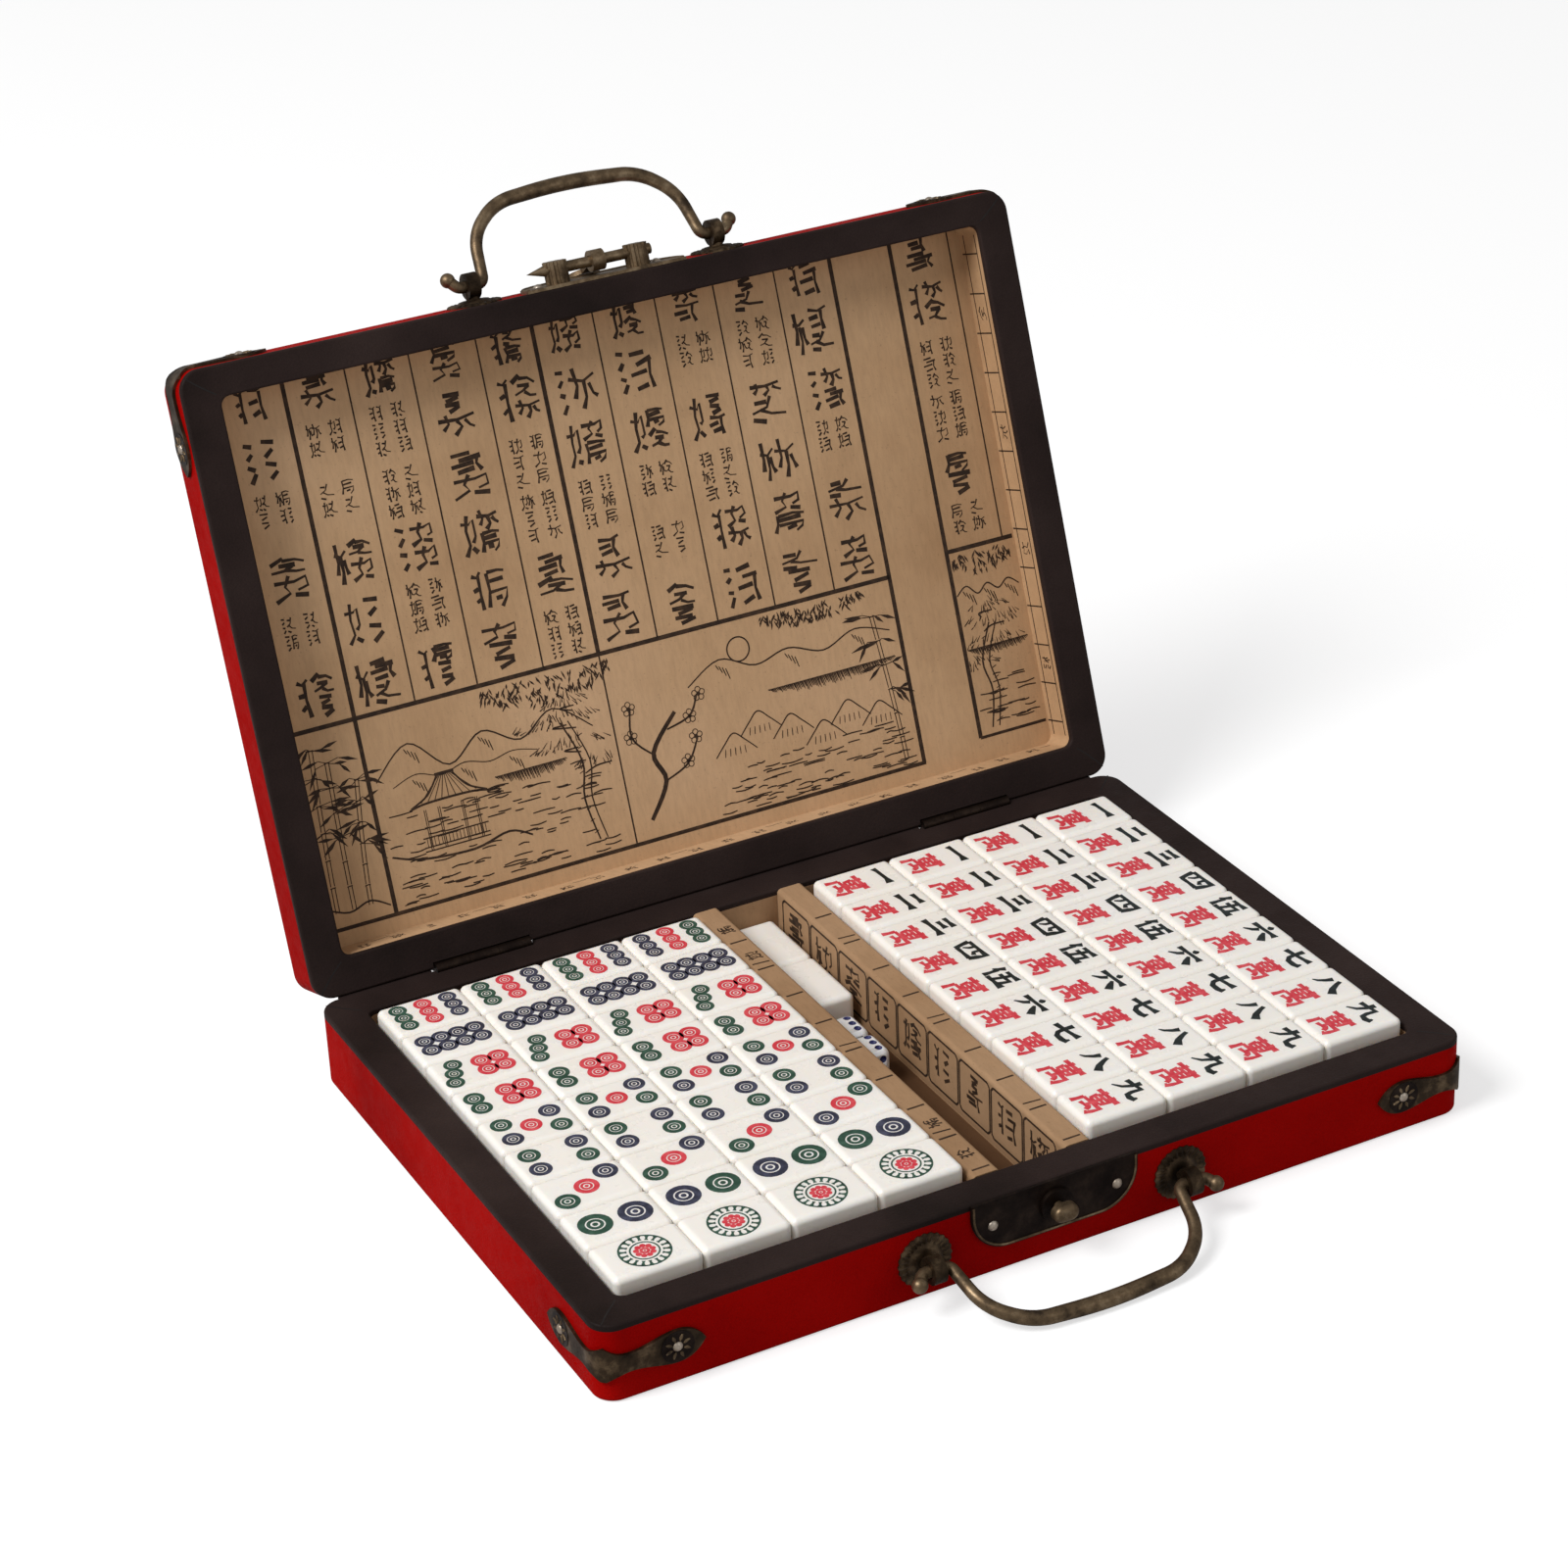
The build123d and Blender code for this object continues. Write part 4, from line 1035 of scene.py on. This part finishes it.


# Rims: mitre seams at the corners, and a rolled edge of the base's black cover along the rear,
# which also fills the gap under the lid with painted shade

# Each rim: its body, its level, the marks' own Y on it, and where its outline ends in Y
for body, level, along, high_y in (
    ("base", BASE_TOP, (0, 1, 0), -BASE_FRONT), ("lid", LID_EDGE, (0, -1, 0), -LID_FRONT),
):
    seams = Marks(*on_body(body, (0, 0, level), (1, 0, 0), along), lift=0.015, sink=0.02)
    for side in (-1, 1):
        for y, inner_y, turn in ((BASE_FRONT, -HOLLOW_Y, 1), (high_y, HOLLOW_Y, -1)):
            seams.curve(
                [
                    (side * (HALF_WIDTH - 1.7), y + turn * 1.7),
                    (side * (HALF_WIDTH + HOLLOW_X) / 2, (y + inner_y) / 2 + turn * 0.3),
                    (side * (HOLLOW_X + 0.9), inner_y - turn * 0.9),
                ],
                0.34,
            )
    seams.build(body + "_rim_seams", seam_shadow, body, "black_leatherette")

# Outline of the roll in Y and Z, and its lengths in X beside and between the two hinges
GAP_SHADE_ROLL = [
    (79.7, 18.4), (80.5, 18.6), (80.9, 19.2), (81.0, 19.9), (80.85, 20.3), (80.3, 20.34),
    (79.95, 20.1), (79.7, 19.8),
]
# The dark roll closes the slit between lid and base: painted shade in place of the shadow there.
points, faces = [], []
for ends in ((-109, -84), (-56, 56), (84, 109)):
    loft([[Vector((x, y, z)) for y, z in GAP_SHADE_ROLL] for x in ends], points, faces)
solid("rear_gap_shade_roll", points, faces, black_cover, "base")


# Rosettes: ribbed discs with a toothed edge and a smooth dome in the middle


def ribbed_disc(radius, thickness, origin, out, up):
    """Loops of a round boss with a toothed edge, a fluted slope and a smooth dome."""
    ribs, per_rib = 24, 6
    side = out.cross(up)
    rings = [
        (1.0, -0.02, 0), (1.0, 0.30, 0), (0.95, 0.52, 1), (0.86, 0.62, 1), (0.76, 0.58, 1),
        (0.68, 0.50, 1), (0.63, 0.46, 0), (0.60, 0.66, 0), (0.54, 0.90, 0), (0.44, 1.0, 0),
        (0.30, 1.0, 0),
    ]
    sections = []
    for share, height, fluted in rings:
        section = []
        for angle in turns(ribs * per_rib):
            wave = 0.5 + 0.5 * math.cos(ribs * angle)
            reach = radius * share
            if share > 0.9:
                reach -= radius * 0.045 * (1 - wave)
            rise = thickness * height - (0.30 * (1 - wave) if fluted else 0)
            x, y = around(0, 0, reach, angle)
            section.append(origin + side * x + up * y + out * rise)
        sections.append(section)
    return sections


HANDLE_SPOT_X = 34
for body, face_y, level, node in (
    ("base", BASE_FRONT, BASE_MIDDLE, "base_handle_rosettes"),
    ("lid", LID_FRONT, LID_MIDDLE, "lid_handle_rosettes"),
):
    points, faces = [], []
    for x in (-HANDLE_SPOT_X, HANDLE_SPOT_X):
        origin, out, up = on_body(body, (x, face_y, level), (0, -1, 0), (0, 0, 1))
        loft(ribbed_disc(7.0, 1.3, origin, out, up), points, faces)
    made = solid(body + "_ribbed_rosettes", points, faces, antique_bronze, body)
    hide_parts(node)


# Brackets: a round seat and eight raised petals at each nail


def petal(place, across, along, angle):
    """Loops of a raised almond petal that points away from a place on a flat face."""
    out = across.cross(along)
    axis = across * math.cos(angle) + along * math.sin(angle)
    wide = out.cross(axis)
    steps = 6
    sections = []
    for k in range(steps + 1):
        share = k / steps
        reach = 1.45 + 1.75 * share
        half = 0.5 * math.sin(math.pi * min(max(share, 0.04), 0.96)) ** 0.7
        sections.append([
            place + axis * reach + wide * (half * offset) + out * (rise + 0.14)
            for offset, rise in ((-1, -0.1), (-0.6, 0.16), (0, 0.26), (0.6, 0.16), (1, -0.1))
        ])
    return sections


def seat(place, across, along):
    """Loops of a thin round disc on a flat face."""
    out = across.cross(along)
    rim = [place + across * x + along * y for x, y in (around(0, 0, 4.1, a) for a in turns(28))]
    return [[point + out * height for point in rim] for height in (0.13, -0.05)]


BRACKET_FACE = 0.82
NAIL_X = 96.5
NAIL_FROM_FRONT = 18.5
for body, front, level in (("base", BASE_FRONT, BASE_MIDDLE), ("lid", LID_FRONT, LID_MIDDLE)):
    petal_points, petal_faces, seat_points, seat_faces = [], [], [], []
    for side in (-1, 1):
        front_place = (side * NAIL_X, front - BRACKET_FACE, level)
        side_place = (side * (HALF_WIDTH + BRACKET_FACE), front + NAIL_FROM_FRONT, level)
        for place, across in ((front_place, (1, 0, 0)), (side_place, (0, side, 0))):
            place, across, along = on_body(body, place, across, (0, 0, 1))
            for angle in turns(8, start=0.5):
                loft(petal(place, across, along, angle), petal_points, petal_faces)
            loft(seat(place, across, along), seat_points, seat_faces)
    for part, points, faces, look in (
        ("petals", petal_points, petal_faces, bronze),
        ("seats", seat_points, seat_faces, dark_bronze),
    ):
        solid(body + "_bracket_" + part, points, faces, look, body)


# Latch plates: a raised bead along the curved edge

BEAD_RADIUS = 0.3


def bead(path, name, body):
    """A round bronze bead along an open path of points in millimetres."""
    curve = bpy.data.curves.new(name, "CURVE")
    curve.dimensions = "3D"
    curve.bevel_depth = BEAD_RADIUS * MM
    curve.bevel_resolution = 2
    curve.use_fill_caps = True
    spline = curve.splines.new("POLY")
    spline.points.add(len(path) - 1)
    for point, place in zip(spline.points, path):
        point.co = (*(place * MM), 1)
    carrier = bpy.data.objects.new(name + "_path", curve)
    mesh = bpy.data.meshes.new_from_object(carrier)
    mesh.name = name
    bpy.data.objects.remove(carrier)
    mesh.materials.clear()
    mesh.materials.append(bronze)
    made = add_object(name, mesh)
    mesh.shade_smooth()
    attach(made, body)


PLATE_HALF_WIDTH, PLATE_HEIGHT, PLATE_CORNER = 22, 13.4, 10
PLATE_FACE = 0.85
BASE_PLATE_EDGE, LID_PLATE_EDGE = 20.3, 20.8


def plate_edge(inset):
    """Points along a plate's two round corners and far edge, down from its straight edge."""
    half, height = PLATE_HALF_WIDTH - inset, PLATE_HEIGHT - inset
    corner = PLATE_CORNER - inset
    path = [(-half, 0.5)]
    for k in range(13):
        path.append(around(-half + corner, height - corner, corner, math.pi * (1 - k / 24)))
    path += [(-x, y) for x, y in reversed(path)]
    return path


edge = plate_edge(0.55)
base_edge = [Vector((x, BASE_FRONT - PLATE_FACE, BASE_PLATE_EDGE - y)) for x, y in edge]
lid_edge = [lid_point(x, LID_FRONT - PLATE_FACE, LID_PLATE_EDGE + y) for x, y in edge]
bead(base_edge, "base_plate_bead", "base")
bead(lid_edge, "lid_plate_bead", "lid")


# Dice: drilled pips

PIPS = {
    1: [(0, 0)], 2: [(-1, -1), (1, 1)], 3: [(-1, -1), (0, 0), (1, 1)],
    4: [(-1, -1), (-1, 1), (1, -1), (1, 1)], 5: [(-1, -1), (-1, 1), (1, -1), (1, 1), (0, 0)],
    6: [(-1, -1), (-1, 0), (-1, 1), (1, -1), (1, 0), (1, 1)],
}
PIP_RADIUS = 1.05
PIP_CENTRE = 0.3
PIP_SPREAD = (2.5, 2.75)
# Each face: its value, the way it looks, and the way across its pips
DIE_FACES = (
    (6, (0, 0, 1), (1, 0, 0)), (1, (0, 0, -1), (1, 0, 0)), (5, (1, 0, 0), (0, 1, 0)),
    (2, (-1, 0, 0), (0, 1, 0)), (3, (0, -1, 0), (1, 0, 0)), (4, (0, 1, 0), (1, 0, 0)),
)
for name in ("die_front", "die_rear"):
    low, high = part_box(name)
    centre = (low + high) / 2 / MM
    half = (high - low).x / 2 / MM
    work = bmesh.new()
    for value, out, across in DIE_FACES:
        out, across = Vector(out), Vector(across)
        along = out.cross(across)
        for u, v in PIPS[value]:
            u, v = u * PIP_SPREAD[0], v * PIP_SPREAD[1]
            spot = centre + out * (half + PIP_CENTRE) + across * u + along * v
            bmesh.ops.create_uvsphere(
                work, u_segments=16, v_segments=10, radius=PIP_RADIUS * MM,
                matrix=Matrix.Translation(spot * MM),
            )
    cutter_mesh = bpy.data.meshes.new(name + "_drill")
    work.to_mesh(cutter_mesh)
    work.free()
    cutter_mesh.materials.append(pip_blue)
    cutter = add_object(name + "_drill", cutter_mesh)
    mesh = nodes[name].data.copy()
    mesh.name = name + "_drilled"
    made = add_object(name + "_drilled", mesh)
    cut = made.modifiers.new("pips", "BOOLEAN")
    cut.operation = "DIFFERENCE"
    cut.solver = "EXACT"
    cut.object = cutter
    cut.material_mode = "TRANSFER"
    evaluated = made.evaluated_get(bpy.context.evaluated_depsgraph_get())
    made.data = bpy.data.meshes.new_from_object(evaluated)
    made.modifiers.clear()
    bpy.data.objects.remove(cutter)
    made.data.shade_smooth()
    made.data.set_sharp_from_angle(angle=math.radians(35))
    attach(made, name)
    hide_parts(name)


# Stage, light and camera


def seen_directly(tree):
    """One where a camera ray or a ray through glass meets the surface, and zero elsewhere."""
    path = tree.nodes.new("ShaderNodeLightPath")
    first = tree.nodes.new("ShaderNodeMath")
    first.operation = "MAXIMUM"
    tree.links.new(path.outputs["Is Camera Ray"], first.inputs[0])
    tree.links.new(path.outputs["Is Transmission Ray"], first.inputs[1])
    return first.outputs[0]


floor_look = bpy.data.materials.new("pale_floor")
floor_look.use_nodes = True
tree = floor_look.node_tree
shader = tree.nodes["Principled BSDF"]
set_inputs(shader, {
    "Base Color": (0.5, 0.5, 0.5, 1), "Roughness": 0.9, "Specular IOR Level": 0.1,
    "Emission Color": (1, 1, 1, 1),
})
glow = tree.nodes.new("ShaderNodeMath")
glow.operation = "MULTIPLY"
glow.inputs[1].default_value = 0.62
tree.links.new(seen_directly(tree), glow.inputs[0])
tree.links.new(glow.outputs[0], shader.inputs["Emission Strength"])
FLOOR_HALF = 7
corners = [(x * FLOOR_HALF, y * FLOOR_HALF, 0) for x, y in ((-1, -1), (1, -1), (1, 1), (-1, 1))]
new_object("floor", corners, [(0, 1, 2, 3)], floor_look)

world = bpy.data.worlds.new("studio")
bpy.context.scene.world = world
world.use_nodes = True
tree = world.node_tree
background = tree.nodes["Background"]
background.inputs["Color"].default_value = (1, 1, 1, 1)
strength = tree.nodes.new("ShaderNodeMapRange")
set_inputs(strength, {"To Min": 0.34, "To Max": 1.0})
tree.links.new(seen_directly(tree), strength.inputs["Value"])
tree.links.new(strength.outputs["Result"], background.inputs["Strength"])


LAMP_TARGET = Vector((0, 0, 0.05))


def area_light(name, place, size, power):
    """A round lamp that points at the middle of the case."""
    data = bpy.data.lights.new(name, "AREA")
    data.shape = "DISK"
    data.size = size
    data.energy = power
    made = add_object(name, data)
    made.location = place
    made.rotation_euler = (LAMP_TARGET - Vector(place)).to_track_quat("-Z", "Y").to_euler()


area_light("key", (-1.3, -0.1, 1.5), 0.9, 32)
area_light("fill", (0.9, -1.5, 1.1), 1.4, 3)

camera_data = bpy.data.cameras.new("camera")
camera_data.lens = 92.99316
camera_data.sensor_width = 36
camera = add_object("camera", camera_data)
camera_right = Vector((0.8822742, -0.4690771, -0.03948286))
camera_up = Vector((0.25150378, 0.39881859, 0.8818671))
camera_back = camera_right.cross(camera_up)
turn = Matrix((camera_right, camera_up, camera_back)).transposed().to_4x4()
camera.matrix_world = Matrix.Translation((-0.3972364, -0.7398101, 0.5334133)) @ turn
bpy.context.scene.camera = camera

bpy.context.scene.view_settings.view_transform = "Standard"
